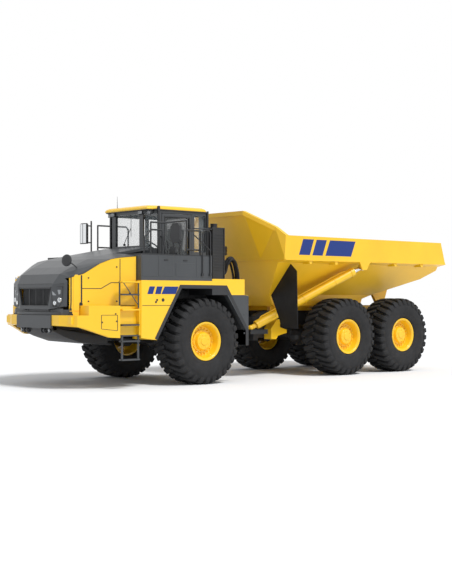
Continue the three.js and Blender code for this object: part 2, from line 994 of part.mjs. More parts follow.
// ---- behind the cab -----------------------------------------------------------------------------
const rearKitX = cabRear - 40;
function makeExhaust() {
  const stack = box(rearKitX - 350, rearKitX, 640, 940, deckTop + seatGap, 3340);
  const muffler = rod([rearKitX - 430, 640, 2760], [rearKitX - 430, 640, 2950], 200, 16);
  return join(stack, muffler);
}
piece("exhaust_box", makeExhaust(), darkGrey);
piece(
  "air_cleaner",
  join(
    box(rearKitX - 330, rearKitX, -940, -300, deckTop + seatGap, 2500),
    rod([rearKitX - 170, -850, 2760], [rearKitX - 170, -300, 2760], 150, 16),
    box(rearKitX - 220, rearKitX - 120, -800, -350, 2490, 2700),
    rod([rearKitX - 170, -700, 2760], [rearKitX - 170, -700, 3330], 60, 12),
  ),
  darkGrey,
);

// ---- rails, mirrors and the hose arch -----------------------------------------------------------
const railY = 1640;
const rearRailY = halfWidth - 60;
const tube = 18;
const gripHeights = { lead: 3180, front: 3330, rear: 3400, middle: 2960 };

// The left-hand rail: a frame over the deck box, then a long run back beside the cab door.
function makeLeftRail() {
  const foot = deckBoxTop + seatGap;
  const front = bar(
    [
      [1600, railY, foot + 8],
      [1590, railY, 3020],
      [1430, railY, gripHeights.lead],
      [1150, railY, gripHeights.lead],
      [1050, railY, foot + 8],
    ],
    tube,
  );
  const upper = bar(
    [
      [1430, railY, foot + 8],
      [1430, railY, gripHeights.front],
      [1100, railY, gripHeights.front],
      [520, rearRailY, gripHeights.rear],
      [520, rearRailY, deckTop + seatGap],
    ],
    tube,
  );
  const rear = bar(
    [
      [520, rearRailY, 3200],
      [150, rearRailY, 3200],
      [150, rearRailY, deckTop + seatGap],
    ],
    tube,
  );
  const base = box(1040, 1610, railY - 20, railY + 20, foot, foot + 12);
  const middle = bar([[520, rearRailY, 2800], [150, rearRailY, 2800]], tube);
  return join(front, upper, rear, base, middle);
}
piece("handrail_left", makeLeftRail(), black);

// The right-hand rail stands beside the cab only.
function makeRightRail() {
  const front = 430;
  const rear = -430;
  const frame = bar(
    [
      [front, rearRailY, deckTop + seatGap],
      [front, rearRailY, gripHeights.middle],
      [front, rearRailY, gripHeights.rear + 60],
      [rear + 60, rearRailY, gripHeights.rear + 60],
      [rear, rearRailY, gripHeights.rear],
      [rear, rearRailY, deckTop + seatGap],
    ],
    tube,
  );
  const middle = bar([[front, rearRailY, gripHeights.middle], [rear, rearRailY, gripHeights.middle]], tube);
  return mirrored(join(frame, middle));
}
piece("handrail_right", makeRightRail(), black);

const mirrorPost = [650, 1600];
const mirrorHead = { x: 800, y: 1665, half: 150, thick: 56, bottom: 2930, top: 3335 };
const mirrorArms = [2990, 3240];
const roundMirror = { y: 1575, z: 2755, radius: 105 };

function makeMirror(postTop) {
  const { x, y, half, thick, bottom, top } = mirrorHead;
  const [postX, postY] = mirrorPost;
  const post = bar([[postX, postY, deckTop + seatGap], [postX, postY, postTop]], tube);
  const arms = mirrorArms.map((z) => bar([[postX, postY, z], [x, postY, z]], tube));
  const shell = (at, corner) => [
    [at, y - half, bottom + corner],
    [at, y - half, top - corner],
    [at, y + half, bottom + corner],
    [at, y + half, top - corner],
    [at, y - half + corner, bottom],
    [at, y - half + corner, top],
    [at, y + half - corner, bottom],
    [at, y + half - corner, top],
  ];
  const head = convex([...shell(x - thick / 2, 30), ...shell(x + thick / 2, 70)]);
  const round = rod(
    [x - thick / 2, roundMirror.y, roundMirror.z],
    [x + thick / 2, roundMirror.y, roundMirror.z],
    roundMirror.radius,
    16,
  );
  const link = bar([[x, roundMirror.y, roundMirror.z], [x, roundMirror.y, bottom + 20]], tube);
  return join(post, arms, head, round, link);
}
piece("mirror_left", makeMirror(3290), black);
piece("mirror_right", mirrored(makeMirror(3560)), black);

const hoseRadius = 48;
function makeHoseArch() {
  const boxRear = rearKitX - 350;
  const run = hose(
    [
      [boxRear + 60, 800, 2340],
      [boxRear - 90, 800, 2380],
      [boxRear - 160, 820, 2580],
      [boxRear - 270, 850, 2690],
      [boxRear - 380, 860, 2560],
      [boxRear - 440, 850, 2200],
      [boxRear - 370, 640, 1800],
      [boxRear - 160, 330, 1620],
      [steerPivotX + 110, 150, 1560],
      [steerPivotX + 140, 110, steerLugTop - 60],
    ],
    hoseRadius,
  );
  return cut(
    run,
    box(boxRear - seatGap, boxRear + 300, 500, 1100, 2200, 2700),
    box(steerPivotX, steerPivotX + 400, -200, 400, 1200, steerLugTop + seatGap),
  );
}
piece("hose_arch", makeHoseArch(), black);

// ---- hitch: steers on the front unit's upright pin and twists in the rear frame -------------------
const hitchHub = 150;
const hitchTop = steerLugTop - 80 - runGap;
const hitchBottom = steerLugBottom + 80 + runGap;
const earX = -1420;
const earY = 420;
const earTop = steerZ - steerEyeHalf - runGap;
const twistCollar = -1760;
const twistEnd = -2350;

function makeHitch() {
  const hub = rod([steerPivotX, 0, hitchBottom], [steerPivotX, 0, hitchTop], hitchHub, 20);
  const neck = box(twistCollar - 20, steerPivotX, -130, 130, 880, 1200);
  const collar = rod([twistCollar, 0, twistHeight], [twistCollar - 60, 0, twistHeight], 210, 24);
  const shaft = rod([twistCollar, 0, twistHeight], [twistEnd, 0, twistHeight], twistRadius, pivotSides);
  const ears = planSlab(
    [
      [earX + 70, -earY - 60],
      [earX + 70, earY + 60],
      [earX - 70, earY + 60],
      [earX - 150, 120],
      [earX - 150, -120],
      [earX - 70, -earY - 60],
    ],
    earTop - 60,
    earTop,
  );
  const bore = rod(
    [steerPivotX, 0, steerLugBottom],
    [steerPivotX, 0, steerLugTop],
    boreOver(steerPinRadius, pivotSides),
    pivotSides,
  );
  return cut(join(hub, neck, collar, shaft, ears), bore);
}
piece("hitch", makeHitch(), black);

// ---- rear frame ---------------------------------------------------------------------------------
const housingFront = twistCollar - 60 - runGap;
const hoistPin = [-2130, 720, 1120];
const hoistEye = [-4860, 1650, 2540];
const eyeDrift = 40; // the eye wanders this far outwards as the body tips
const eyePlateGap = 64; // from the hoist eye's middle to the bracket's plate
const ballRadius = 70;
const ballSides = 16;
const ballRings = 8;
const cupRadius =
  ballRadius / (Math.cos(Math.PI / ballSides) * Math.cos(Math.PI / (2 * ballRings))) + seatGap;
const rearFrameEnd = tipPivotX - 110;
const railDropX = -2750;
const tipLug = { inner: 290, outer: railInner + 10 };

function makeRearFrame() {
  const rail = sideSlab(
    [
      [-2500, rearRailBottom - 180],
      [-2500, 1400],
      [railDropX, railTop],
      [rearFrameEnd, railTop],
      [rearFrameEnd, 1330],
      [-6300, 1300],
      [-3200, 1240],
      [-3050, rearRailBottom - 180],
    ],
    railInner,
    railOuter,
  );
  const housing = cut(
    join(
      rod([housingFront, 0, twistHeight], [-2560, 0, twistHeight], 250, 24),
      box(-2600, -2450, -railOuter, railOuter, 820, 1360),
    ),
    rod([-1700, 0, twistHeight], [-2700, 0, twistHeight], boreOver(twistRadius, pivotSides), pivotSides),
  );
  const crossXs = [-3000, -3900, -4700, -5750, -6600, rearFrameEnd + 80];
  const crossMembers = crossXs.map((x) =>
    box(x - 50, x + 50, -railInner - 10, railInner + 10, 1340, railTop - 60),
  );
  const beamMount = box(
    beamPivotX - 160,
    beamPivotX + 160,
    railInner,
    railOuter,
    beamPivotZ - 120,
    1400,
  );
  const cup = toSolid(
    new THREE.SphereGeometry(cupRadius, ballSides, ballRings)
      .rotateX(Math.PI / 2)
      .translate(...hoistPin),
  );
  const [pinX, pinY, pinZ] = hoistPin;
  const hoistArm = cut(
    join(
      box(-2600, pinX + 70, pinY - 80, pinY + 80, pinZ - 140, pinZ - 35),
      box(-2600, -2420, railInner, pinY + 80, pinZ - 140, pinZ - 35),
    ),
    cup,
  );
  const tipEar = join(
    sideSlab(
      [
        [tipPivotX + 190, railTop - 30],
        [tipPivotX + 60, tipPivotZ + 70],
        [tipPivotX - 60, tipPivotZ + 70],
        [rearFrameEnd, railTop - 30],
      ],
      tipLug.inner,
      tipLug.outer,
    ),
    rod(
      [tipPivotX, tipLug.inner + 10, tipPivotZ],
      [tipPivotX, tipLug.outer + 90, tipPivotZ],
      tipPinRadius,
      24,
    ),
  );
  const guard = sideSlab(
    [
      [-2800, 850],
      [-2800, 1100],
      [-2980, 1310],
      [-3080, 1310],
      [-3080, 1120],
      [-3300, 1060],
      [-3300, 990],
      [-3020, 930],
      [-2960, 850],
    ],
    railOuter - 10,
    700,
  );
  return join(
    bothSides(rail),
    housing,
    crossMembers,
    bothSides(beamMount),
    bothSides(hoistArm),
    bothSides(tipEar),
    bothSides(guard),
  );
}
piece("rear_frame", makeRearFrame(), black);

// ---- tipping body -------------------------------------------------------------------------------
const sideKnee = [1480, 2600];
const tailStart = -5200;
const tailBottom = [-7600, 2290];
const tailTip = [truckRear, 2510];
const railEndTop = [-7730, bodyRailTop];
const railEndBottom = [-7885, 2720];

function bodyOutline(inset) {
  const { top: frontTop, bottom: frontBottom } = bodyFront;
  return [
    [frontTop[0] - inset, frontTop[1]],
    [frontBottom[0] - inset, frontBottom[1] + inset],
    [tailStart, frontBottom[1] + inset],
    [tailBottom[0], tailBottom[1] + inset],
    [tailTip[0] - (inset > 0 ? 200 : 0), tailTip[1] + (inset > 0 ? inset + 40 : 0)],
    ...(inset > 0
      ? [[tailTip[0] - 200, 4200], [frontTop[0] - inset, 4200]]
      : [railEndBottom, railEndTop, [frontTop[0] - 40, bodyRailTop]]),
  ];
}

function troughSection(inset) {
  const top = inset > 0 ? 4200 : bodyRailTop;
  const outerTop = inset > 0 ? bodyRailY - bodyRailWidth : bodyRailY;
  const half = [
    [bodyFloorHalf - inset, bodyFloorZ + inset],
    [bodyFloorHalf - inset, 1880],
    [sideKnee[0] - inset, sideKnee[1]],
    ...(inset > 0 ? [] : [[bodyRailY, bodyRailBottom]]),
    [outerTop, bodyRailTop],
    ...(inset > 0 ? [[outerTop, top]] : []),
  ];
  return [...half, ...half.map(([y, z]) => [-y, z]).reverse()];
}

function makeBody() {
  const outer = frontSlab(troughSection(0), -8100, -2100).intersect(
    sideSlab(bodyOutline(0), -2000, 2000),
  );
  const inner = frontSlab(troughSection(bodyPlate), -8300, -2100).intersect(
    sideSlab(bodyOutline(bodyPlate), -2000, 2000),
  );
  const thick = 25;
  const sheet = (corners) => convex(corners.flatMap(([x, y, z]) => [[x, y, z], [x - thick, y, z]]));
  const crestTop = [-1800, 820, roofTop];
  const crestFoot = [-2200, 980, 2700];
  const crestSide = [-2150, 1500, 3400];
  const railCorner = [-2240, bodyRailY, bodyRailTop];
  const mirror = ([x, y, z]) => [x, -y, z];
  const middle = sheet([crestTop, crestFoot, mirror(crestTop), mirror(crestFoot)]);
  const wingIn = sheet([crestTop, crestFoot, crestSide]);
  const wingOut = sheet([crestFoot, crestSide, railCorner, [-2200, bodyRailY - 5, 2720]]);
  const wingFoot = sheet([
    [-2200, 0, 2650],
    [-2200, 0, 2760],
    [-2200, bodyRailY - 5, 2720],
    [-2200, bodyRailY - 5, 2660],
  ]);
  const lip = ([x, y, z]) => [[x, y, z], [x, y, z - 100], [x - 90, y, z], [x - 90, y, z - 100]];
  const lips = [
    convex([...lip(crestTop), ...lip(mirror(crestTop))]),
    ...bothSides(convex([...lip(crestTop), ...lip(crestSide)])),
    ...bothSides(convex([...lip(crestSide), ...lip(railCorner)])),
  ];
  const runner = box(-6500, -3000, railInner + 10, railOuter - 10, railTop + runGap, bodyFloorZ + 5);
  const lugOuter = tipLug.outer + runGap;
  const lug = cut(
    sideSlab(
      [
        [tipPivotX - 60, tipPivotZ - 60],
        [tipPivotX + 60, tipPivotZ - 70],
        [tipPivotX + 420, 2060],
        [tipPivotX - 330, 2230],
        [tipPivotX - 90, tipPivotZ + 20],
      ],
      lugOuter,
      lugOuter + 80,
    ),
    rod(
      [tipPivotX, 0, tipPivotZ],
      [tipPivotX, 900, tipPivotZ],
      boreOver(tipPinRadius, 24),
      24,
    ),
  );
  const eyePlate = sideSlab(
    [
      [hoistEye[0] - 220, bodyRailBottom + 60],
      [hoistEye[0] - 60, hoistEye[2] - 70],
      [hoistEye[0] + 80, hoistEye[2] - 70],
      [hoistEye[0] + 220, bodyRailBottom + 60],
    ],
    hoistEye[1] + eyePlateGap + seatGap,
    hoistEye[1] + eyePlateGap + 45,
  );
  const eyeFoot = box(
    hoistEye[0] - 160,
    hoistEye[0] + 160,
    1500,
    hoistEye[1] + eyePlateGap + 45,
    bodyRailBottom - 8,
    bodyRailBottom + 40,
  );
  return join(
    cut(outer, inner),
    middle,
    bothSides(wingIn),
    bothSides(wingOut),
    bothSides(wingFoot),
    lips,
    bothSides(runner),
    bothSides(lug),
    bothSides(eyePlate),
    bothSides(eyeFoot),
  );
}
piece("dump_body", makeBody(), yellow);

const guardX = -2680;
const guardSheet = 12;
function makeMudguard() {
  const share = 0.97; // of the way up the trough's sloping wall
  const onSlope = [
    bodyFloorHalf + share * (sideKnee[0] - bodyFloorHalf) + seatGap,
    1880 + share * (sideKnee[1] - 1880) - seatGap,
  ];
  const outline = [
    onSlope,
    [1655, 2410],
    [1690, 1110],
    [1190, 1120],
    [910, 1690],
    [bodyFloorHalf + seatGap, 1870],
  ];
  return frontSlab(outline, guardX - guardSheet, guardX);
}
pair("mudguard", makeMudguard(), black);

// A hydraulic cylinder between two points, with its distances counted from the barrel's foot.
function cylinderPair({ from, to, barrelRadius, rodRadius, barrelStart, barrelEnd, shaftStart, foot, eye }) {
  const start = vector(from);
  const along = vector(to).sub(start);
  const length = along.length();
  const at = (distance) => start.clone().addScaledVector(along, distance / length).toArray();
  const bore = rodRadius + 0.5;
  const barrel = cut(
    join(
      rod(at(0), at(barrelStart + 20), 0.55 * barrelRadius, 12),
      rod(at(barrelStart), at(barrelEnd), barrelRadius, 20),
      rod(at(barrelEnd - 90), at(barrelEnd), barrelRadius + 12, 20),
    ),
    rod(at(barrelStart + 60), at(barrelEnd + 20), bore, 16),
  );
  const shaft = join(rod(at(shaftStart), at(length - 20), rodRadius, 16), eye);
  return [foot(barrel), shaft];
}

function makeHoist() {
  const ball = toSolid(
    new THREE.SphereGeometry(ballRadius, ballSides, ballRings)
      .rotateX(Math.PI / 2)
      .rotateY(Math.PI / (2 * ballRings))
      .rotateZ(Math.PI / ballSides)
      .translate(...hoistPin),
  );
  const [x, y, z] = hoistEye;
  return cylinderPair({
    from: hoistPin,
    to: hoistEye,
    barrelRadius: 100,
    rodRadius: 50,
    barrelStart: 150,
    barrelEnd: 2960,
    shaftStart: 215,
    foot: (barrel) => join(barrel, ball),
    eye: rod([x, y - 45, z], [x, y + eyePlateGap - eyeDrift, z], 80, 16),
  });
}
const [hoistBarrel, hoistRod] = makeHoist();
pair("hoist_barrel", hoistBarrel, yellow);
pair("hoist_rod", hoistRod, bareSteel);

function makeSteeringCylinder() {
  const foot = [steerBallX, steerBallY, steerZ];
  const tip = [earX, earY, steerZ];
  const upright = ([x, y, z], radius) => rod([x, y, z - steerEyeHalf], [x, y, z + steerEyeHalf], radius, 20);
  return cylinderPair({
    from: foot,
    to: tip,
    barrelRadius: 58,
    rodRadius: 32,
    barrelStart: 90,
    barrelEnd: 820,
    shaftStart: 475,
    foot: (barrel) => cut(join(barrel, upright(foot, 62)), upright(foot, boreOver(steerPin, 20))),
    eye: upright(tip, 58),
  });
}
const [steerBarrel, steerRod] = makeSteeringCylinder();
pair("steering_barrel", steerBarrel, black);
pair("steering_rod", steerRod, bareSteel);

export default truck;
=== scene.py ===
"""Looks of the articulated dump truck: materials, fine shapes, light and camera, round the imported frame."""

import math
import random

import bmesh
import bpy
from mathutils import Matrix, Vector


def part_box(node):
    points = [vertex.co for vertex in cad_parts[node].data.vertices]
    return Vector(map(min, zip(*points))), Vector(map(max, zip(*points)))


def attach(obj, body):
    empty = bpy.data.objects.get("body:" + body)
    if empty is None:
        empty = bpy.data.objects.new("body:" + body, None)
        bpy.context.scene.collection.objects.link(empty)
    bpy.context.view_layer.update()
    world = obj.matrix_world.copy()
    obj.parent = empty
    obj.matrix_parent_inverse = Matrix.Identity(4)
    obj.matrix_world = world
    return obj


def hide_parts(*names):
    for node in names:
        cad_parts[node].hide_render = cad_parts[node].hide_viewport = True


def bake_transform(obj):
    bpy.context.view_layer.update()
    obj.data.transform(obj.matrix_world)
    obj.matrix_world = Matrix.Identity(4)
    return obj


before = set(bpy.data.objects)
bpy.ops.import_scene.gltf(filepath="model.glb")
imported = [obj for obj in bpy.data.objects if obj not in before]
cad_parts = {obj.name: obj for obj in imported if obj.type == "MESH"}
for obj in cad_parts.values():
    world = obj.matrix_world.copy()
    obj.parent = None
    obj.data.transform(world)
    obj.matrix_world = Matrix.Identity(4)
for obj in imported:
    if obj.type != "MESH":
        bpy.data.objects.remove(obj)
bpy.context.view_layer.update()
random.seed(7)


def corners(node):
    low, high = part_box(node)
    return Vector(low), Vector(high)


def middle(node):
    low, high = corners(node)
    return (low + high) / 2


AXLE_X = middle("tyre_front_left").x  # stations are counted from the front axle


def at(station, y, z):
    """A point given by its station from the front axle, in metres."""
    return Vector((AXLE_X + station, y, z))


# ---- materials ------------------------------------------------------------------------------------
class Nodes:
    """A small writer of node trees."""

    def __init__(self, name):
        self.material = bpy.data.materials.new(name)
        self.material.use_nodes = True
        self.tree = self.material.node_tree
        self.tree.nodes.clear()
        self.shader = self.add("ShaderNodeBsdfPrincipled")
        out = self.add("ShaderNodeOutputMaterial")
        self.link(self.shader.outputs[0], out.inputs[0])
        self.place = self.add("ShaderNodeTexCoord").outputs["Object"]

    def add(self, kind, **values):
        node = self.tree.nodes.new(kind)
        for key, value in values.items():
            setattr(node, key, value)
        return node

    def link(self, a, b):
        self.tree.links.new(a, b)

    def set(self, **values):
        for key, value in values.items():
            self.shader.inputs[key.replace("_", " ")].default_value = value

    def noise(self, scale, detail=4.0, rough=0.55, stretch=None):
        node = self.add("ShaderNodeTexNoise")
        node.inputs["Scale"].default_value = scale
        node.inputs["Detail"].default_value = detail
        node.inputs["Roughness"].default_value = rough
        place = self.place
        if stretch:
            mapping = self.add("ShaderNodeMapping")
            mapping.inputs["Scale"].default_value = stretch
            self.link(self.place, mapping.inputs["Vector"])
            place = mapping.outputs[0]
        self.link(place, node.inputs["Vector"])
        return node.outputs["Fac"]

    def ramp(self, fac, stops):
        node = self.add("ShaderNodeValToRGB")
        ramp = node.color_ramp
        ramp.elements[0].position, ramp.elements[0].color = stops[0][0], stops[0][1]
        ramp.elements[1].position, ramp.elements[1].color = stops[-1][0], stops[-1][1]
        for position, color in stops[1:-1]:
            ramp.elements.new(position).color = color
        self.link(fac, node.inputs["Fac"])
        return node.outputs["Color"]

    def grade(self, fac, low, high):
        node = self.add("ShaderNodeMapRange")
        node.inputs["To Min"].default_value = low
        node.inputs["To Max"].default_value = high
        self.link(fac, node.inputs["Value"])
        return node.outputs[0]

    def bump(self, height, strength, distance):
        node = self.add("ShaderNodeBump")
        node.inputs["Strength"].default_value = strength
        node.inputs["Distance"].default_value = distance
        self.link(height, node.inputs["Height"])
        self.link(node.outputs[0], self.shader.inputs["Normal"])


def shade(color, factor):
    return tuple(min(1.0, c * factor) for c in color[:3]) + (1.0,)


def paint(name, color, roughness, spread=0.06, coat=0.0, dust=0.04, peel=0.25):
    """Sprayed enamel: faint mottling, orange peel and a little dust in the roughness."""
    m = Nodes(name)
    base = m.ramp(
        m.noise(1.3, 5.0),
        [(0.3, shade(color, 1.0 - spread)), (0.5, shade(color, 1.0)), (0.72, shade(color, 1.0 + spread))],
    )
    m.link(base, m.shader.inputs["Base Color"])
    m.link(
        m.grade(m.noise(9.0, 6.0), max(0.05, roughness - dust), roughness + dust),
        m.shader.inputs["Roughness"],
    )
    m.set(Coat_Weight=coat, Coat_Roughness=0.12)
    m.bump(m.noise(160.0, 2.0), peel * 0.12, 0.002)
    return m.material


def rubber(name, color, roughness=0.82, grit=0.5):
    m = Nodes(name)
    base = m.ramp(
        m.noise(6.0, 6.0),
        [(0.3, shade(color, 0.75)), (0.6, shade(color, 1.1)), (0.8, shade(color, 1.5))],
    )
    m.link(base, m.shader.inputs["Base Color"])
    m.link(m.grade(m.noise(22.0, 4.0), roughness - 0.1, roughness + 0.1), m.shader.inputs["Roughness"])
    m.set(Specular_IOR_Level=0.35)
    m.bump(m.noise(220.0, 3.0), grit * 0.4, 0.003)
    return m.material


def plastic(name, color, roughness=0.5):
    m = Nodes(name)
    base = m.ramp(m.noise(30.0, 3.0), [(0.3, shade(color, 0.9)), (0.7, shade(color, 1.1))])
    m.link(base, m.shader.inputs["Base Color"])
    m.link(m.grade(m.noise(60.0), roughness - 0.06, roughness + 0.06), m.shader.inputs["Roughness"])
    m.bump(m.noise(420.0, 2.0), 0.15, 0.001)
    return m.material


def metal(name, color, roughness):
    m = Nodes(name)
    base = m.ramp(
        m.noise(40.0, 4.0, stretch=(1, 1, 12)), [(0.3, shade(color, 0.88)), (0.7, shade(color, 1.05))]
    )
    m.link(base, m.shader.inputs["Base Color"])
    m.link(m.grade(m.noise(90.0), roughness - 0.05, roughness + 0.08), m.shader.inputs["Roughness"])
    m.set(Metallic=1.0)
    return m.material


def glass(name, tint, alpha):
    m = Nodes(name)
    base = m.ramp(m.noise(2.0), [(0.3, shade(tint, 0.95)), (0.7, shade(tint, 1.05))])
    m.link(base, m.shader.inputs["Base Color"])
    m.link(m.grade(m.noise(3.0), 0.02, 0.06), m.shader.inputs["Roughness"])
    m.set(Alpha=alpha, IOR=1.5, Specular_IOR_Level=0.8)
    m.material.blend_method = "BLEND"
    return m.material


def cloth(name, color):
    m = Nodes(name)
    base = m.ramp(m.noise(260.0, 2.0), [(0.35, shade(color, 0.7)), (0.65, shade(color, 1.4))])
    m.link(base, m.shader.inputs["Base Color"])
    m.set(Roughness=0.9, Sheen_Weight=0.25)
    m.bump(m.noise(420.0, 2.0), 0.5, 0.002)
    return m.material


YELLOW = paint("yellow_enamel", (0.95, 0.565, 0.014), 0.36, spread=0.04, coat=0.25)
# A slightly darker, more orange copy of the yellow enamel for the dump body: painted shade on the same paint.
YELLOW_SHADED = paint("yellow_enamel_painted_shade", (0.92, 0.535, 0.014), 0.42, spread=0.06, coat=0.15)
GREY = paint("dark_grey_enamel", (0.046, 0.050, 0.054), 0.42, spread=0.10, coat=0.1)
BLACK = paint("black_enamel", (0.016, 0.017, 0.019), 0.45, spread=0.15, coat=0.05)
BLUE = paint("blue_stripe", (0.001, 0.026, 0.185), 0.6, spread=0.05, coat=0.0)
TYRE = rubber("tyre_rubber", (0.020, 0.020, 0.021))
RUBBER = rubber("black_rubber", (0.013, 0.013, 0.014), 0.6, 0.2)
PLASTIC = plastic("black_plastic", (0.022, 0.023, 0.025))
CHROME = metal("polished_chrome", (0.78, 0.79, 0.80), 0.12)
GLASS = glass("window_glass", (0.55, 0.62, 0.64), 0.10)
DOOR_GLASS = glass("tinted_glass", (0.035, 0.042, 0.044), 0.62)
LENS = glass("lamp_lens", (0.85, 0.88, 0.90), 0.35)
MIRROR = metal("mirror_glass", (0.80, 0.82, 0.84), 0.04)
SEAT = cloth("seat_cloth", (0.035, 0.036, 0.040))

SLOTS = {
    "yellow_paint": YELLOW,
    "dark_grey_paint": GREY,
    "black_paint": BLACK,
    "tyre_rubber": TYRE,
    "black_rubber": RUBBER,
    "black_plastic": PLASTIC,
    "cylinder_chrome": CHROME,
    "window_glass": GLASS,
    "seat_fabric": SEAT,
}
SLOT_OF = {m.name: s for s, m in SLOTS.items()}
SLOT_OF.update(
    {
        YELLOW_SHADED.name: "yellow_paint",
        BLUE.name: "yellow_paint",
        LENS.name: "window_glass",
        DOOR_GLASS.name: "window_glass",
        MIRROR.name: "cylinder_chrome",
    }
)


# ---- shape helpers --------------------------------------------------------------------------------
def soften(obj, width=0.006, angle=35, segments=2):
    """Rounds the edges and shades the faces smooth between them."""
    bevel = obj.modifiers.new("edges", "BEVEL")
    bevel.width = width
    bevel.segments = segments
    bevel.limit_method = "ANGLE"
    bevel.angle_limit = math.radians(angle)
    bevel.harden_normals = False
    bevel.use_clamp_overlap = True
    normals = obj.modifiers.new("normals", "WEIGHTED_NORMAL")
    normals.keep_sharp = True
    for face in obj.data.polygons:
        face.use_smooth = True


def make(name, bm, material, body, replaces=(), width=0.004, angle=35, segments=2, soft=True):
    """Turns a bmesh into a piece of the object that rides on a body."""
    bmesh.ops.recalc_face_normals(bm, faces=bm.faces)
    mesh = bpy.data.meshes.new(name)
    bm.to_mesh(mesh)
    bm.free()
    obj = bpy.data.objects.new(name, mesh)
    bpy.context.scene.collection.objects.link(obj)
    for m in material if isinstance(material, (list, tuple)) else [material]:
        mesh.materials.append(m)
    if soft:
        soften(obj, width, angle, segments)
    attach(obj, body)
    if replaces:
        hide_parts(*replaces)
    return obj


def add_box(bm, low, high, index=0):
    low, high = Vector(low), Vector(high)
    verts = [
        bm.verts.new((x, y, z)) for x in (low.x, high.x) for y in (low.y, high.y) for z in (low.z, high.z)
    ]
    for quad in ((0, 1, 3, 2), (4, 6, 7, 5), (0, 4, 5, 1), (2, 3, 7, 6), (0, 2, 6, 4), (1, 5, 7, 3)):
        bm.faces.new([verts[i] for i in quad]).material_index = index
    return verts


def add_prism(bm, ring_a, ring_b, index=0):
    """Two rings of the same number of points, joined by side faces and capped."""
    a = [bm.verts.new(p) for p in ring_a]
    b = [bm.verts.new(p) for p in ring_b]
    count = len(a)
    for i in range(count):
        j = (i + 1) % count
        bm.faces.new((a[i], a[j], b[j], b[i])).material_index = index
    bm.faces.new(list(reversed(a))).material_index = index
    bm.faces.new(b).material_index = index


def add_slab(bm, outline, y0, y1):
    """A plate with this outline of stations and heights, from one y to the other."""
    add_prism(bm, [at(x, y0, z) for x, z in outline], [at(x, y1, z) for x, z in outline])


def add_rings(bm, rings, index=0, closed=False, caps=True):
    """Skins a row of rings."""
    rows = [[bm.verts.new(p) for p in ring] for ring in rings]
    count = len(rows[0])
    pairs = list(zip(rows, rows[1:]))
    if closed:
        pairs.append((rows[-1], rows[0]))
    for a, b in pairs:
        for i in range(count):
            j = (i + 1) % count
            bm.faces.new((a[i], a[j], b[j], b[i])).material_index = index
    if caps and not closed:
        bm.faces.new(list(reversed(rows[0]))).material_index = index
        bm.faces.new(rows[-1]).material_index = index


def circle(centre, axis, radius, sides):
    axis = Vector(axis).normalized()
    across = axis.orthogonal().normalized()
    up = axis.cross(across)
    turn = 2 * math.pi / sides
    return [
        Vector(centre) + radius * (math.cos(i * turn) * across + math.sin(i * turn) * up)
        for i in range(sides)
    ]


def add_rod(bm, start, end, radius, sides=20, index=0, end_radius=None):
    start, end = Vector(start), Vector(end)
    axis = end - start
    last = radius if end_radius is None else end_radius
    add_rings(bm, [circle(start, axis, radius, sides), circle(end, axis, last, sides)], index)


def add_lathe(bm, centre, axis, profile, sides=48, index=0, closed=True):
    """A profile of (distance along the axis, radius), turned about it."""
    centre, axis = Vector(centre), Vector(axis).normalized()
    rings = [circle(centre + axis * along, axis, radius, sides) for along, radius in profile]
    add_rings(bm, rings, index, closed=closed, caps=not closed)


def smooth_path(points, steps=6):
    """A Catmull-Rom curve through the points."""
    pts = [Vector(p) for p in points]
    pts = [2 * pts[0] - pts[1]] + pts + [2 * pts[-1] - pts[-2]]
    out = []
    for i in range(1, len(pts) - 2):
        a, b, c, d = pts[i - 1 : i + 3]
        for s in range(steps):
            t = s / steps
            out.append(
                0.5
                * (
                    2 * b
                    + (c - a) * t
                    + (2 * a - 5 * b + 4 * c - d) * t * t
                    + (3 * b - a - 3 * c + d) * t**3
                )
            )
    out.append(pts[-2])
    return out


def rounded_path(points, radius, steps=5):
    """A path of straight runs with round bends of about the given radius."""
    pts = [Vector(p) for p in points]
    out = [pts[0]]
    for a, b, c in zip(pts, pts[1:], pts[2:]):
        reach = min(radius, 0.45 * (b - a).length, 0.45 * (c - b).length)
        start = b + (a - b).normalized() * reach
        end = b + (c - b).normalized() * reach
        for s in range(steps + 1):
            t = s / steps
            out.append((1 - t) ** 2 * start + 2 * t * (1 - t) * b + t * t * end)
    out.append(pts[-1])
    return out


def add_tube(bm, path, radius, sides=10, index=0):
    """A round tube along a path, with no twist."""
    rings = []
    tangent = (path[1] - path[0]).normalized()
    across = tangent.orthogonal().normalized()
    for i, p in enumerate(path):
        ahead = path[min(i + 1, len(path) - 1)] - path[max(i - 1, 0)]
        new = ahead.normalized()
        across = (across - across.dot(new) * new).normalized()
        up = new.cross(across)
        turn = 2 * math.pi / sides
        rings.append(
            [p + radius * (math.cos(k * turn) * across + math.sin(k * turn) * up) for k in range(sides)]
        )
    add_rings(bm, rings, index)


def sides():
    return (("left", 1), ("right", -1))


# ---- wheels ---------------------------------------------------------------------------------------
LUGS = 30  # on each half of the tread
LUG_FOOT = 0.845  # radius of the tread's ground
RIM_R = 0.407


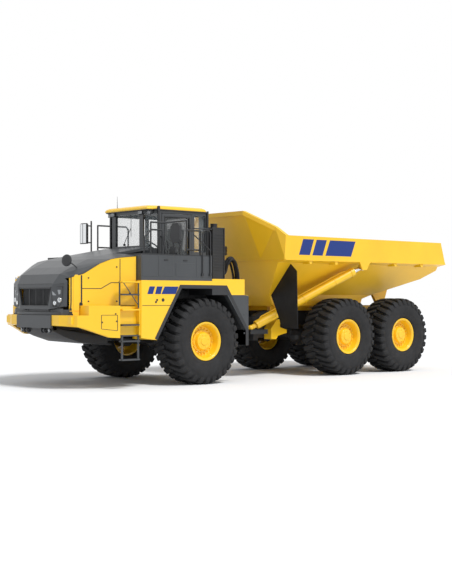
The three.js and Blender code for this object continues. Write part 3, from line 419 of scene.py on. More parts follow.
def tyre_mesh():
    """A carcass with lettering-free side walls, and two staggered rows of curved lugs."""
    bm = bmesh.new()
    wall = [
        (0.250, RIM_R + 0.004),
        (0.318, RIM_R + 0.012),
        (0.345, RIM_R + 0.055),
        (0.352, RIM_R + 0.075),
        (0.372, 0.560),
        (0.378, 0.575),
        (0.381, 0.640),
        (0.380, 0.700),
        (0.372, 0.712),
        (0.368, 0.760),
        (0.352, 0.805),
        (0.318, 0.838),
        (0.200, LUG_FOOT),
        (0.060, LUG_FOOT + 0.003),
    ]
    profile = wall + [(-y, r) for y, r in reversed(wall)]
    add_lathe(bm, (0, 0, 0), (0, 1, 0), profile, sides=96)
    pitch = 2 * math.pi / LUGS
    # (sideways, top radius, foot radius, sweep in pitches, half-width in pitches)
    stations = [
        (-0.012, 0.898, 0.83, -0.02, 0.20),
        (0.090, 0.900, 0.83, 0.08, 0.25),
        (0.200, 0.899, 0.83, 0.30, 0.29),
        (0.300, 0.893, 0.81, 0.46, 0.31),
        (0.355, 0.868, 0.79, 0.50, 0.30),
        (0.379, 0.812, 0.76, 0.50, 0.26),
        (0.381, 0.765, 0.74, 0.50, 0.20),
    ]
    for hand in (1, -1):
        for k in range(LUGS):
            start = (k + (0.5 if hand < 0 else 0.0)) * pitch
            rings = []
            for y, top, foot, sweep, half in stations:
                ring = []
                for radius, spread in ((foot, 1.22), (foot, -1.22), (top, -0.92), (top, 0.92)):
                    angle = start + (sweep + half * spread) * pitch
                    ring.append((radius * math.sin(angle), hand * y, radius * math.cos(angle)))
                rings.append(ring)
            add_rings(bm, rings)
    bmesh.ops.recalc_face_normals(bm, faces=bm.faces)
    mesh = bpy.data.meshes.new("tyre")
    bm.to_mesh(mesh)
    bm.free()
    mesh.materials.append(TYRE)
    return mesh


def rim_mesh():
    """The dished wheel: flange, lock ring, barrel, bolted disc and the planet hub's cover."""
    bm = bmesh.new()
    y = (0, 1, 0)
    barrel = [
        (-0.245, 0.404),
        (0.250, 0.404),
        (0.290, 0.400),
        (0.300, 0.406),
        (0.316, 0.406),
        (0.318, 0.398),
        (0.314, 0.376),
        (0.306, 0.366),
        (0.296, 0.362),
        (0.294, 0.352),
        (0.282, 0.347),
        (0.272, 0.341),
        (0.180, 0.322),
        (0.160, 0.306),
        (0.155, 0.240),
        (-0.02, 0.240),
        (-0.02, 0.300),
        (-0.245, 0.370),
    ]
    add_lathe(bm, (0, 0, 0), y, barrel, sides=72)
    hub = [
        (0.151, 0.001),
        (0.151, 0.238),
        (0.176, 0.238),
        (0.182, 0.232),
        (0.184, 0.200),
        (0.186, 0.196),
        (0.232, 0.180),
        (0.246, 0.170),
        (0.250, 0.160),
        (0.250, 0.092),
        (0.262, 0.086),
        (0.268, 0.076),
        (0.268, 0.001),
    ]
    add_lathe(bm, (0, 0, 0), y, hub, sides=48)
    # (number, ring radius, reach outwards, size)
    bolt_rings = ((20, 0.272, 0.195, 0.015), (12, 0.214, 0.200, 0.010), (8, 0.128, 0.262, 0.009))
    for count, ring, reach, size in bolt_rings:
        for k in range(count):
            turn = 2 * math.pi * k / count
            centre = Vector((ring * math.cos(turn), 0, ring * math.sin(turn)))
            foot = reach - 0.045
            add_rod(bm, centre + Vector((0, foot, 0)), centre + Vector((0, reach, 0)), size, 6)
    valve = Vector((0.342 * math.cos(0.6), 0.27, 0.342 * math.sin(0.6)))
    add_rod(bm, valve, valve + Vector((-0.02, 0.045, -0.012)), 0.006, 8)
    bmesh.ops.recalc_face_normals(bm, faces=bm.faces)
    mesh = bpy.data.meshes.new("rim")
    bm.to_mesh(mesh)
    bm.free()
    mesh.materials.append(YELLOW)
    return mesh


def place_wheels():
    tyre, rim = tyre_mesh(), rim_mesh()
    for axle in ("front", "middle", "rear"):
        for side, sign in sides():
            centre = middle(f"tyre_{axle}_{side}")
            body = f"wheel_{axle}_{side}"
            turn = Matrix.Rotation(0 if sign > 0 else math.pi, 4, "Z")
            roll = Matrix.Rotation(random.uniform(0, 1), 4, "Y")
            for kind, shape in (("tyre", tyre), ("rim", rim)):
                mesh = shape.copy()
                mesh.transform(turn @ roll)
                obj = bpy.data.objects.new(f"{kind}_{axle}_{side}_look", mesh)
                bpy.context.scene.collection.objects.link(obj)
                obj.matrix_world = Matrix.Translation(centre)
                soften(obj, 0.008 if kind == "tyre" else 0.003, 30, 1 if kind == "tyre" else 2)
                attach(obj, body)
                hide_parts(f"{kind}_{axle}_{side}")


place_wheels()


# ---- nose and hood --------------------------------------------------------------------------------
def nose_x(y):
    """Station of the hood's slanted nose face, outboard of the grille."""
    return 3.122 - 0.249 * (abs(y) - 0.60)


def make_grille():
    bm = bmesh.new()
    add_box(bm, at(3.035, -0.55, 1.63), at(3.045, 0.55, 2.025))
    count = 25
    for k in range(count):
        y = -0.50 + k * 1.0 / (count - 1)
        top = 2.0 if abs(y) < 0.5 else 1.9
        add_box(bm, at(3.048, y - 0.009, 1.645), at(3.078, y + 0.009, top))
    for y in (-0.26, 0.0, 0.26):
        add_box(bm, at(3.046, y - 0.014, 1.64), at(3.084, y + 0.014, 2.01))
    for z in (1.648, 1.995):
        add_box(bm, at(3.046, -0.53, z - 0.012), at(3.080, 0.53, z + 0.012))
    make("grille_slats", bm, PLASTIC, "hood", ("grille",), 0.003)


def make_bezel():
    """A dark frame round the grille's opening and round each lamp pocket."""
    bm = bmesh.new()
    corners_yz = [(-0.50, 1.65), (0.50, 1.65), (0.59, 2.005), (-0.59, 2.005)]
    for (y0, z0), (y1, z1) in zip(corners_yz, corners_yz[1:] + corners_yz[:1]):
        add_rod(bm, at(3.117, y0, z0), at(3.117, y1, z1), 0.013, 8)
    for _, s in sides():
        for (y0, z0), (y1, z1) in (
            ((0.66, 1.64), (0.60, 2.02)),
            ((0.60, 2.02), (0.92, 2.03)),
            ((0.92, 2.03), (0.90, 1.72)),
            ((0.90, 1.72), (0.80, 1.62)),
            ((0.80, 1.62), (0.66, 1.64)),
        ):
            add_rod(bm, at(nose_x(y0), s * y0, z0), at(nose_x(y1), s * y1, z1), 0.009, 8)
    brow = [at(nose_x(max(abs(y), 0.6)) - 0.004, y, 2.085) for y in (-0.93, -0.62, 0.62, 0.93)]
    add_tube(bm, brow, 0.008, 8)
    make("nose_bezel", bm, BLACK, "hood", width=0.001)


def make_lamps():
    for side, s in sides():
        pocket, glass_bm, bowl = bmesh.new(), bmesh.new(), bmesh.new()
        ring = ((0.67, 1.65), (0.61, 2.01), (0.91, 2.02), (0.89, 1.73), (0.80, 1.635))
        front = [at(nose_x(y) + 0.001, s * y, z) for y, z in ring]
        back = [at(nose_x(y) - 0.03, s * y, z) for y, z in ring]
        add_prism(pocket, back, front)
        out = Vector((1.0, 0.249 * s, 0.0)).normalized()
        for y, z, radius in ((0.715, 1.705, 0.040), (0.840, 1.765, 0.046)):
            centre = at(nose_x(y), s * y, z)
            bowl_profile = [
                (0.002, 0.001),
                (0.002, 0.55 * radius),
                (0.012, 0.9 * radius),
                (0.016, radius),
                (0.004, 1.12 * radius),
                (0.000, 1.12 * radius),
                (0.000, 0.001),
            ]
            add_lathe(bowl, centre, out, bowl_profile, 28)
            lens = [(0.012, 0.001), (0.018, 0.6 * radius), (0.013, 0.93 * radius), (0.010, 0.001)]
            add_lathe(glass_bm, centre, out, lens, 28)
        low, high = 1.86, 1.965
        lens_ring = [(0.655, low), (0.64, high), (0.865, high), (0.86, low + 0.03), (0.80, low)]
        add_prism(
            glass_bm,
            [at(nose_x(y) + 0.001, s * y, z) for y, z in lens_ring],
            [at(nose_x(y) + 0.008, s * y, z) for y, z in lens_ring],
        )
        make(f"lamp_pocket_{side}", pocket, PLASTIC, "hood", width=0.003)
        make(f"lamp_bowl_{side}", bowl, CHROME, "hood", width=0.001)
        make(f"lamp_glass_{side}", glass_bm, LENS, "hood", width=0.001)


def make_valance():
    """Closes the gap between the hood's foot and the bumper; it stays on the frame."""
    bm = bmesh.new()
    add_box(bm, at(3.008, -0.90, 1.462), at(3.028, 0.90, 1.60))
    for _, s in sides():
        ring = [(3.028, 0.90), (3.008, 0.90), (2.95, 1.03), (2.97, 1.03)]
        add_prism(bm, [at(x, s * y, 1.462) for x, y in ring], [at(x, s * y, 1.575) for x, y in ring])
    plan = [(3.105, 0.0), (3.100, 0.60), (3.01, 0.88), (3.01, 0.0)]
    for _, s in sides():
        add_prism(bm, [at(x, s * y, 1.467) for x, y in plan], [at(x, s * y, 1.527) for x, y in plan])
    make("nose_valance", bm, GREY, "front_unit", width=0.004)


PANEL_SLOPE = (1.565 - 1.150) / (2.700 - 1.740)


def panel_y(station):
    """Outer face of the yellow side panel."""
    if station > 2.70:
        return 1.15 - (station - 2.70) * (1.15 - 1.03) / 0.26
    return 1.15 + PANEL_SLOPE * (2.70 - station)


def strip_on_panel(bm, s, points, half, lift=0.003):
    """A narrow flat strip following the side panel's face through (station, z) points."""
    for (x0, z0), (x1, z1) in zip(points, points[1:]):
        along = Vector((x1 - x0, z1 - z0)).normalized()
        nx, nz = -along.y * half, along.x * half
        outline = [(x0 + nx, z0 + nz), (x1 + nx, z1 + nz), (x1 - nx, z1 - nz), (x0 - nx, z0 - nz)]
        inner = [at(x, s * (panel_y(x) - 0.004), z) for x, z in outline]
        outer = [at(x, s * (panel_y(x) + lift), z) for x, z in outline]
        add_prism(bm, inner, outer)


def make_panel_lines():
    for side, s in sides():
        bm = bmesh.new()
        strip_on_panel(bm, s, [(2.934, 2.235), (2.934, 1.72), (2.944, 1.56)], 0.011)
        strip_on_panel(bm, s, [(2.747, 2.255), (2.747, 1.72), (2.765, 1.60)], 0.013)
        strip_on_panel(bm, s, [(2.735, 1.991), (2.391, 1.991), (2.206, 2.109), (2.040, 2.110)], 0.007)
        strip_on_panel(bm, s, [(2.040, 2.585), (2.040, 1.665)], 0.007)
        strip_on_panel(bm, s, [(2.040, 2.110), (1.745, 2.110)], 0.005)
        for x, z, half in ((2.941, 1.60, 0.018), (2.944, 1.54, 0.030), (2.944, 1.495, 0.044)):
            strip_on_panel(bm, s, [(x, z), (x, z - 0.045)], half, 0.006)
        for x, z, half in ((2.760, 1.72, 0.020), (2.758, 1.70, 0.030)):
            strip_on_panel(bm, s, [(x, z), (x, z - 0.04)], half, 0.006)
        make(f"panel_seams_{side}", bm, BLACK, "front_unit", width=0.001)
        bm = bmesh.new()
        slot = [(2.895, 1.55), (2.895, 2.20), (2.865, 2.262), (2.815, 2.262), (2.790, 2.20), (2.790, 1.55)]
        inner = [at(x, s * (panel_y(x) - 0.004), z) for x, z in slot]
        outer = [at(x, s * (panel_y(x) + 0.012), z) for x, z in slot]
        add_prism(bm, inner, outer)
        make(f"cheek_{side}", bm, YELLOW, "front_unit", width=0.008)
        bm = bmesh.new()
        for x, z in ((2.62, 1.74), (2.62, 2.20), (2.10, 1.74), (2.10, 2.42), (1.86, 1.90)):
            y = panel_y(x)
            add_rod(bm, at(x, s * (y - 0.01), z), at(x + 0.002, s * (y + 0.010), z), 0.014, 14)
        make(f"panel_latches_{side}", bm, PLASTIC, "front_unit", width=0.001)


def flank_y(station):
    """Outer face of the bumper's slanted flank."""
    return 1.72 - (station - 2.238) * (1.72 - 1.32) / (2.97 - 2.238)


def make_bumper_lines():
    """The battery box's door in the bumper's flank."""
    for side, s in sides():
        bm = bmesh.new()
        low, high, front, rear = 1.165, 1.470, 2.560, 2.285
        for x0, z0, x1, z1 in (
            (front, high, rear, high),
            (rear, high, rear, low),
            (rear, low, front, low + 0.035),
            (front, low + 0.035, front, high),
        ):
            along = Vector((x1 - x0, z1 - z0)).normalized() * 0.005
            nx, nz = -along.y, along.x
            ring = [(x0 + nx, z0 + nz), (x1 + nx, z1 + nz), (x1 - nx, z1 - nz), (x0 - nx, z0 - nz)]
            inner = [at(x, s * (flank_y(x) - 0.004), z) for x, z in ring]
            outer = [at(x, s * (flank_y(x) + 0.002), z) for x, z in ring]
            add_prism(bm, inner, outer)
        for x, z in ((2.315, 1.495), (2.300, 1.35), (2.545, 1.33)):
            y = flank_y(x)
            add_rod(bm, at(x, s * (y - 0.01), z), at(x + 0.003, s * (y + 0.008), z), 0.014, 14)
        make(f"battery_door_{side}", bm, BLACK, "front_unit", width=0.001)


def make_belly():
    """The dark middle plate, the belly guard under it, tow eyes and the hood's hinge posts."""
    plate = bmesh.new()
    add_box(plate, at(3.095, -0.648, 1.205), at(3.154, 0.648, 1.464))
    make("middle_plate", plate, GREY, "front_unit", ("front_plate",), 0.010)
    bm = bmesh.new()
    side_line = [(3.115, 1.205), (3.060, 1.145), (2.780, 1.020), (2.420, 0.905), (1.650, 0.830)]
    roof_line = [(x - 0.01, z + 0.03) for x, z in reversed(side_line)]
    ring = side_line + roof_line
    add_prism(bm, [at(x, -0.60, z) for x, z in ring], [at(x, 0.60, z) for x, z in ring])
    for _, s in sides():
        web = [(1.75, 0.86), (1.75, 1.145), (2.90, 1.145), (2.78, 1.03), (2.42, 0.93)]
        add_slab(bm, web, s * 0.37, s * 0.43)
        web = [(1.75, 0.84), (1.75, 1.0), (2.95, 1.19), (3.05, 1.15), (2.78, 1.025), (2.42, 0.91)]
        add_slab(bm, web, s * 0.59, s * 0.605)
        add_box(bm, at(3.03, s * 0.375, 1.30), at(3.095, s * 0.425, 1.44))
        add_box(bm, at(3.005, s * 0.375, 1.44), at(3.035, s * 0.425, 1.615))
        add_rod(bm, at(3.06, s * 0.375, 1.60), at(3.06, s * 0.475, 1.60), 0.015, 16)
        add_box(bm, at(3.02, s * 0.375, 1.585), at(3.06, s * 0.425, 1.615))
        for y in (0.25, 0.36):
            eye = [(0.000, 0.022), (0.000, 0.055), (0.040, 0.055), (0.040, 0.022)]
            add_lathe(bm, at(3.095, s * y if s > 0 else s * (y + 0.04), 1.160), (0, 1, 0), eye, 24)
            add_box(bm, at(3.055, s * y, 1.175), at(3.13, s * (y + 0.04), 1.215))
    for y in (-0.52, 0.52):
        add_rod(bm, at(3.06, y, 1.155), at(3.11, y, 1.155), 0.040, 20)
    make("belly_guard", bm, BLACK, "front_unit", width=0.004)
    bm = bmesh.new()
    for y in (-0.52, 0.52):
        add_rod(bm, at(3.108, y, 1.155), at(3.116, y, 1.155), 0.034, 20)
    make("fog_lamps", bm, LENS, "front_unit", width=0.001)


def make_ladders():
    """The recessed steps with their rails on both sides, and the hanging steps on the left."""
    for side, s in sides():
        bm = bmesh.new()
        add_box(bm, at(1.7255, s * 1.575, 1.06), at(2.218, s * 1.600, 1.64))
        add_box(bm, at(1.7255, s * 1.575, 1.06), at(1.755, s * 1.699, 2.139))
        for z in (1.57, 2.12):
            add_box(bm, at(1.7255, s * 1.575, z - 0.012), at(2.17, s * 1.705, z + 0.012))
        make(f"ladder_back_{side}", bm, YELLOW, "front_unit", (f"ladder_{side}",), 0.003)
        bm = bmesh.new()
        for z in (1.27, 1.87):
            add_box(bm, at(1.756, s * 1.580, z - 0.014), at(2.176, s * 1.709, z + 0.014))
            for k in range(6):
                x = 1.80 + k * 0.065
                add_box(bm, at(x, s * 1.60, z + 0.012), at(x + 0.02, s * 1.70, z + 0.019))
        add_box(bm, at(1.727, s * 1.577, 1.046), at(2.176, s * 1.679, 1.074))
        add_rod(bm, at(2.163, s * 1.588, 1.63), at(2.163, s * 1.588, 2.139), 0.013, 12)
        add_rod(bm, at(1.775, s * 1.69, 1.66), at(2.14, s * 1.69, 2.11), 0.009, 10)
        add_rod(bm, at(1.775, s * 1.69, 1.60), at(1.775, s * 1.69, 2.10), 0.013, 12)
        if s > 0:
            for x in (1.755, 2.148):
                add_box(bm, at(x - 0.018, 1.642, 0.570), at(x + 0.018, 1.668, 1.078))
            for z in (0.585, 0.95):
                add_box(bm, at(1.736, 1.572, z - 0.016), at(2.166, 1.698, z + 0.016))
        make(f"ladder_steps_{side}", bm, GREY, "front_unit", width=0.003)


def make_hood_mirror():
    """A round mirror on a bracket at the hood's left shoulder."""
    centre = at(2.880, 0.800, 2.550)
    face = Vector((0.94, 0.34, 0.05)).normalized()
    bm = bmesh.new()
    shell = [
        (0.030, 0.001),
        (0.028, 0.06),
        (0.018, 0.10),
        (0.004, 0.118),
        (-0.010, 0.120),
        (-0.014, 0.112),
        (-0.012, 0.001),
    ]
    add_lathe(bm, centre, face, shell, 36)
    arm = [centre - face * 0.01, at(2.80, 0.84, 2.50), at(2.72, 0.90, 2.42), at(2.70, 0.93, 2.36)]
    add_tube(bm, smooth_path(arm, 5), 0.013, 10)
    add_box(bm, at(2.66, 0.89, 2.335), at(2.75, 0.96, 2.370))
    make("hood_mirror", bm, PLASTIC, "hood", width=0.001)
    bm = bmesh.new()
    glass_profile = [(-0.012, 0.001), (-0.012, 0.106), (-0.016, 0.106), (-0.022, 0.06), (-0.024, 0.001)]
    add_lathe(bm, centre, face, glass_profile, 36)
    make("hood_mirror_glass", bm, MIRROR, "hood", width=0.001)


def make_far_mirror():
    """The right-hand mirror: a tall framed glass standing higher than the left one."""
    bm = bmesh.new()
    add_tube(bm, [at(0.65, -1.60, 2.212), at(0.65, -1.60, 3.555)], 0.018, 12)
    for z in (3.06, 3.44):
        add_tube(bm, [at(0.65, -1.60, z), at(0.775, -1.60, z)], 0.015, 10)
    frame_ring = rounded_path([(1.53, 3.03, 0), (1.53, 3.50, 0), (1.80, 3.50, 0), (1.80, 3.03, 0)], 0.06)
    ring = [(p.x, p.y) for p in frame_ring]
    add_prism(bm, [at(0.775, -y, z) for y, z in ring], [at(0.822, -y, z) for y, z in ring])
    make("far_mirror_shell", bm, PLASTIC, "front_unit", ("mirror_right",), 0.006)
    bm = bmesh.new()
    pane = [(1.555, 3.05), (1.555, 3.48), (1.675, 3.48), (1.675, 3.05)]
    other = [(1.695, 3.05), (1.695, 3.48), (1.778, 3.48), (1.778, 3.05)]
    for outline in (pane, other):
        for x0, x1 in ((0.820, 0.8255), (0.7715, 0.777)):
            add_prism(bm, [at(x0, -y, z) for y, z in outline], [at(x1, -y, z) for y, z in outline])
    make("far_mirror_glass", bm, MIRROR, "front_unit", width=0.001)


# ---- stripes --------------------------------------------------------------------------------------
def make_stripes(name, body, face, lift, shapes):
    for side, s in sides():
        bm = bmesh.new()
        for outline in shapes:
            add_slab(bm, outline, s * (face - 0.004), s * (face + lift))
        make(f"{name}_{side}", bm, BLUE, body, soft=False)


def slanted(front_top, rear_top, top, bottom, lean):
    return [
        (front_top, top),
        (rear_top, top),
        (rear_top + lean, bottom),
        (front_top + lean, bottom),
    ]


# ---- fenders --------------------------------------------------------------------------------------
ARCH = [(1.333, 0.960), (0.700, 2.010), (-0.500, 2.006), (-1.080, 1.120), (-1.080, 0.790)]
ARCH_LIP = 0.065  # how far the dark lip reaches out over the fender
ARCH_LINING = 0.008  # thickness of the lining under the arch
SKIN_FACE = 1.7235  # outer face of the thin panels on the fenders and the deck


def shifted_path(points, distance):
    """The path moved sideways, with mitred corners; a positive distance goes into the arch."""
    normals = []
    for (x0, z0), (x1, z1) in zip(points, points[1:]):
        along = Vector((x1 - x0, z1 - z0)).normalized()
        normals.append(Vector((-along.y, along.x)))
    out = []
    for i, (x, z) in enumerate(points):
        a = normals[max(i - 1, 0)]
        b = normals[min(i, len(normals) - 1)]
        both = (a + b).normalized()
        reach = distance / max(0.3, both.dot(a))
        out.append((x + both.x * reach, z + both.y * reach))
    return out


def make_arches():
    """The arches' lips and linings, the inner wings and the flares behind the front wheels."""
    outside = shifted_path(ARCH, -ARCH_LIP)
    inside = shifted_path(ARCH, ARCH_LINING)
    for side, s in sides():
        bm = bmesh.new()
        for i in range(len(ARCH) - 1):
            quad = [inside[i], inside[i + 1], outside[i + 1], outside[i]]
            add_slab(bm, quad, s * 1.705, s * 1.727)
            wall = [inside[i], inside[i + 1], ARCH[i + 1], ARCH[i]]
            add_slab(bm, wall, s * 0.962, s * 1.722)
        make(f"arch_{side}", bm, PLASTIC, "front_unit", width=0.003)
        bm = bmesh.new()
        wall = [(1.26, 1.08), (0.72, 2.05), (-0.52, 2.05), (-1.10, 1.14), (-0.86, 1.14)]
        wall += [(-0.50, 1.72), (0.52, 1.74), (0.98, 1.08)]
        add_slab(bm, wall, s * 0.946, s * 0.958)
        make(f"inner_wing_{side}", bm, BLACK, "front_unit", soft=False)
        bm = bmesh.new()
        shade_ring = [(-0.124, 1.868), (-0.124, 2.003), (-0.497, 2.003), (-0.585, 1.868)]
        add_slab(bm, shade_ring, s * 0.955, s * SKIN_FACE)
        make(f"arch_shade_{side}", bm, PLASTIC, "front_unit", soft=False)
        bm = bmesh.new()
        rear = [(-0.545, 1.868), (-1.045, 1.868), (-1.153, 1.855)]
        rear += [(-1.153, 0.788), (-1.078, 0.788), (-1.078, 1.11)]
        add_slab(bm, rear, s * 1.60, s * SKIN_FACE)
        add_box(bm, at(-1.1535, s * 0.957, 0.788), at(-1.072, s * 1.7225, 1.145))
        add_box(bm, at(-1.1535, s * 0.957, 1.14), at(-1.115, s * 1.7225, 1.20))
        for z in (1.05, 1.45):
            add_rod(bm, at(-1.03, s * 1.715, z), at(-1.03, s * 1.731, z), 0.018, 12)
        make(f"rear_flare_{side}", bm, GREY, "front_unit", width=0.003)
        bm = bmesh.new()
        for x, z, radius in ((1.33, 1.765, 0.022), (1.36, 1.725, 0.022), (1.18, 1.765, 0.034)):
            add_rod(bm, at(x, s * 1.715, z), at(x, s * 1.729, z), radius, 16)
        make(f"fender_fittings_{side}", bm, PLASTIC, "front_unit", width=0.002)
        bm = bmesh.new()
        add_box(bm, at(1.70, s * 1.716, 1.650), at(0.91, s * 1.7225, 1.660))
        make(f"fender_seam_{side}", bm, BLACK, "front_unit", soft=False)


# ---- deck and cab ---------------------------------------------------------------------------------
def make_deck_panels():
    """Thin panels on the deck's side, their seams and latches, and the dark edge along its top."""
    for side, s in sides():
        bm = bmesh.new()
        for x0, x1, z0, z1 in (
            (1.700, 1.315, 2.235, 2.655),
            (1.290, 0.900, 2.235, 2.655),
            (0.850, 0.330, 2.235, 2.520),
            (0.300, -0.100, 2.235, 2.655),
        ):
            add_box(bm, at(x0, s * 1.712, z0), at(x1, s * 1.7245, z1))
        for x in (1.302, 0.875, 0.315):
            add_box(bm, at(x - 0.006, s * 1.712, 2.22), at(x + 0.006, s * 1.7215, 2.68))
        make(f"deck_panels_{side}", bm, GREY, "front_unit", width=0.005)
        bm = bmesh.new()
        for x in (1.10, 0.60):
            add_box(bm, at(x - 0.05, s * 1.722, 2.56), at(x + 0.05, s * 1.734, 2.585))
        add_box(bm, at(0.848, s * 0.848, 2.672), at(1.728, s * SKIN_FACE, 2.6935))
        add_box(bm, at(-0.123, s * 1.687, 2.672), at(0.848, s * SKIN_FACE, 2.6935))
        make(f"deck_edge_{side}", bm, BLACK, "front_unit", width=0.003)


def make_roof():
    """The crowned roof, its gutter and corner posts, the aerial and beacon, and four work lamps."""
    crown = bmesh.new()
    rings = []
    for front, rear, half, z in (
        (0.715, -0.755, 0.862, 3.676),
        (0.718, -0.758, 0.866, 3.700),
        (0.700, -0.735, 0.845, 3.735),
        (0.655, -0.690, 0.790, 3.762),
        (0.560, -0.600, 0.690, 3.770),
    ):
        nose = front + 0.14
        waist = front - 0.16
        flat = [(nose, half - 0.10), (waist, half), (rear + 0.08, half), (rear, half - 0.08)]
        outline = [(x, y, 0) for x, y in flat] + [(x, -y, 0) for x, y in reversed(flat)]
        rings.append([at(p[0], p[1], z) for p in outline])
    add_rings(crown, rings)
    make("roof_crown", crown, YELLOW, "front_unit", ("cab_roof",), 0.006)
    gutter = bmesh.new()
    add_box(gutter, at(-0.757, -0.868, 3.658), at(0.717, 0.868, 3.682))
    plan = [(0.70, 0.80), (0.850, 0.74), (0.850, -0.74), (0.70, -0.80)]
    add_prism(gutter, [at(x, y, 3.655) for x, y in plan], [at(x, y, 3.690) for x, y in plan])
    add_box(gutter, at(0.600, 0.842, 2.215), at(0.652, 0.884, 3.745))
    add_box(gutter, at(-0.752, 0.842, 2.215), at(-0.712, 0.870, 3.700))
    add_box(gutter, at(0.600, -0.884, 2.215), at(0.652, -0.842, 3.68))
    make("roof_gutter", gutter, PLASTIC, "front_unit", width=0.005)
    mast = bmesh.new()
    add_rod(mast, at(0.60, -0.66, 3.70), at(0.60, -0.66, 3.80), 0.016, 12, end_radius=0.010)
    add_rod(mast, at(0.60, -0.66, 3.79), at(0.60, -0.66, 4.045), 0.0065, 10, end_radius=0.003)
    add_rod(mast, at(-0.55, -0.50, 3.74), at(-0.55, -0.50, 3.85), 0.045, 20, end_radius=0.040)
    make("roof_mast", mast, BLACK, "front_unit", width=0.001)
    cases, faces = bmesh.new(), bmesh.new()
    for y in (-0.70, -0.50, 0.50, 0.70):
        x = 0.80 if abs(y) < 0.6 else 0.72
        add_box(cases, at(x - 0.02, y - 0.075, 3.575), at(x + 0.05, y + 0.075, 3.655))
        add_box(faces, at(x + 0.048, y - 0.062, 3.585), at(x + 0.054, y + 0.062, 3.645))
    make("work_lamp_cases", cases, PLASTIC, "front_unit", width=0.008)
    make("work_lamp_glass", faces, LENS, "front_unit", width=0.002)


def make_cab_trim():
    """The door's gasket, handle and surround, a grab rail beside it, and the screen's wiper."""
    bm = bmesh.new()
    y0, y1 = 0.836, 0.846
    left, right, low, high = -0.222, 0.442, 2.568, 3.522
    for a, b in (
        ((left - 0.02, low - 0.02), (right + 0.02, low)),
        ((left - 0.02, high), (right + 0.02, high + 0.02)),
        ((left - 0.02, low), (left, high)),
        ((right, low), (right + 0.02, high)),
    ):
        add_box(bm, at(a[0], y0, a[1]), at(b[0], y1, b[1]))
    handle = [at(0.40, 0.845, 2.62), at(0.40, 0.885, 2.62), at(0.40, 0.885, 3.0), at(0.40, 0.845, 3.0)]
    add_tube(bm, handle, 0.011, 10)
    make("door_gasket", bm, PLASTIC, "cab_door", width=0.003)
    bm = bmesh.new()
    for a, b in (
        ((-0.312, 2.318), (0.532, 2.326)),
        ((-0.312, 3.604), (0.532, 3.612)),
        ((0.524, 2.326), (0.534, 3.604)),
    ):
        add_box(bm, at(a[0], 0.834, a[1]), at(b[0], 0.8445, b[1]))
    grab = rounded_path(
        [at(0.56, 0.838, 3.10), at(0.56, 0.90, 3.10), at(0.56, 0.90, 2.50), at(0.56, 0.838, 2.50)], 0.05
    )
    add_tube(bm, grab, 0.013, 10)
    make("door_surround", bm, PLASTIC, "front_unit", width=0.002)
    bm = bmesh.new()
    pivot = at(0.815, -0.10, 2.95)
    add_rod(bm, pivot - Vector((0.02, 0, 0)), pivot + Vector((0.02, 0, 0)), 0.022, 14)
    add_tube(bm, [pivot + Vector((0.018, 0, 0)), at(0.832, 0.16, 3.30)], 0.007, 8)
    add_tube(bm, [at(0.828, 0.16, 3.12), at(0.828, 0.16, 3.52)], 0.006, 8)
    make("screen_wiper", bm, BLACK, "front_unit", width=0.001)


def make_rear_rail():
    """The open frame that guards the deck behind the door on the left, and hoses beside it."""
    bm = bmesh.new()
    y = 1.737
    loop = [at(0.15, y, 2.27), at(0.15, y, 3.215), at(-0.06, y, 3.215), at(-0.06, y, 2.27)]
    add_tube(bm, rounded_path(loop, 0.10), 0.015, 10)
    add_tube(bm, rounded_path([at(0.37, 1.68, 3.24), at(0.30, y, 3.24), at(-0.09, y, 3.24)], 0.05), 0.013, 10)
    add_tube(bm, [at(0.36, 1.69, 3.12), at(0.15, y, 2.95), at(-0.055, y, 2.80)], 0.012, 10)
    for x in (0.15, -0.06):
        add_box(bm, at(x - 0.03, 1.715, 2.26), at(x + 0.03, 1.75, 2.32))
    make("rear_rail", bm, BLACK, "front_unit", width=0.001)


def make_mirror_faces():
    """The left mirror's glass and the round wide-angle one below it."""
    x = 0.800 - 0.028
    bm = bmesh.new()
    ring = [(1.545, 3.30), (1.545, 2.965), (1.758, 2.965), (1.758, 3.30)]
    add_prism(bm, [at(x - 0.003, y, z) for y, z in ring], [at(x + 0.002, y, z) for y, z in ring])
    dish = [(0.000, 0.001), (0.000, 0.094), (0.003, 0.094), (0.007, 0.06), (0.009, 0.001)]
    add_lathe(bm, at(x, 1.575, 2.755), (-1, 0, 0), dish, 32)
    make("mirror_face_left", bm, MIRROR, "front_unit", width=0.001)


make_grille()
make_bezel()
make_lamps()
make_valance()
make_panel_lines()
make_bumper_lines()
make_belly()
make_ladders()
make_hood_mirror()
make_far_mirror()
make_stripes(
    "fender_stripes",
    "front_unit",
    1.720,
    0.0025,
    [
        slanted(1.519, 1.381, 2.037, 1.884, 0.058),
        slanted(1.333, 1.190, 2.037, 1.884, 0.050),
        slanted(1.139, 0.777, 2.037, 1.884, 0.080),
    ],
)
make_stripes(
    "body_stripes",
    "dump_body",
    1.760,
    0.0008,
    [
        slanted(-2.782, -3.129, 3.132, 2.774, 0.135),
        slanted(-3.216, -3.551, 3.130, 2.772, 0.143),
        slanted(-3.654, -4.522, 3.130, 2.772, 0.155),
    ],
)
make_arches()
make_deck_panels()
make_roof()
make_cab_trim()
make_rear_rail()
make_mirror_faces()


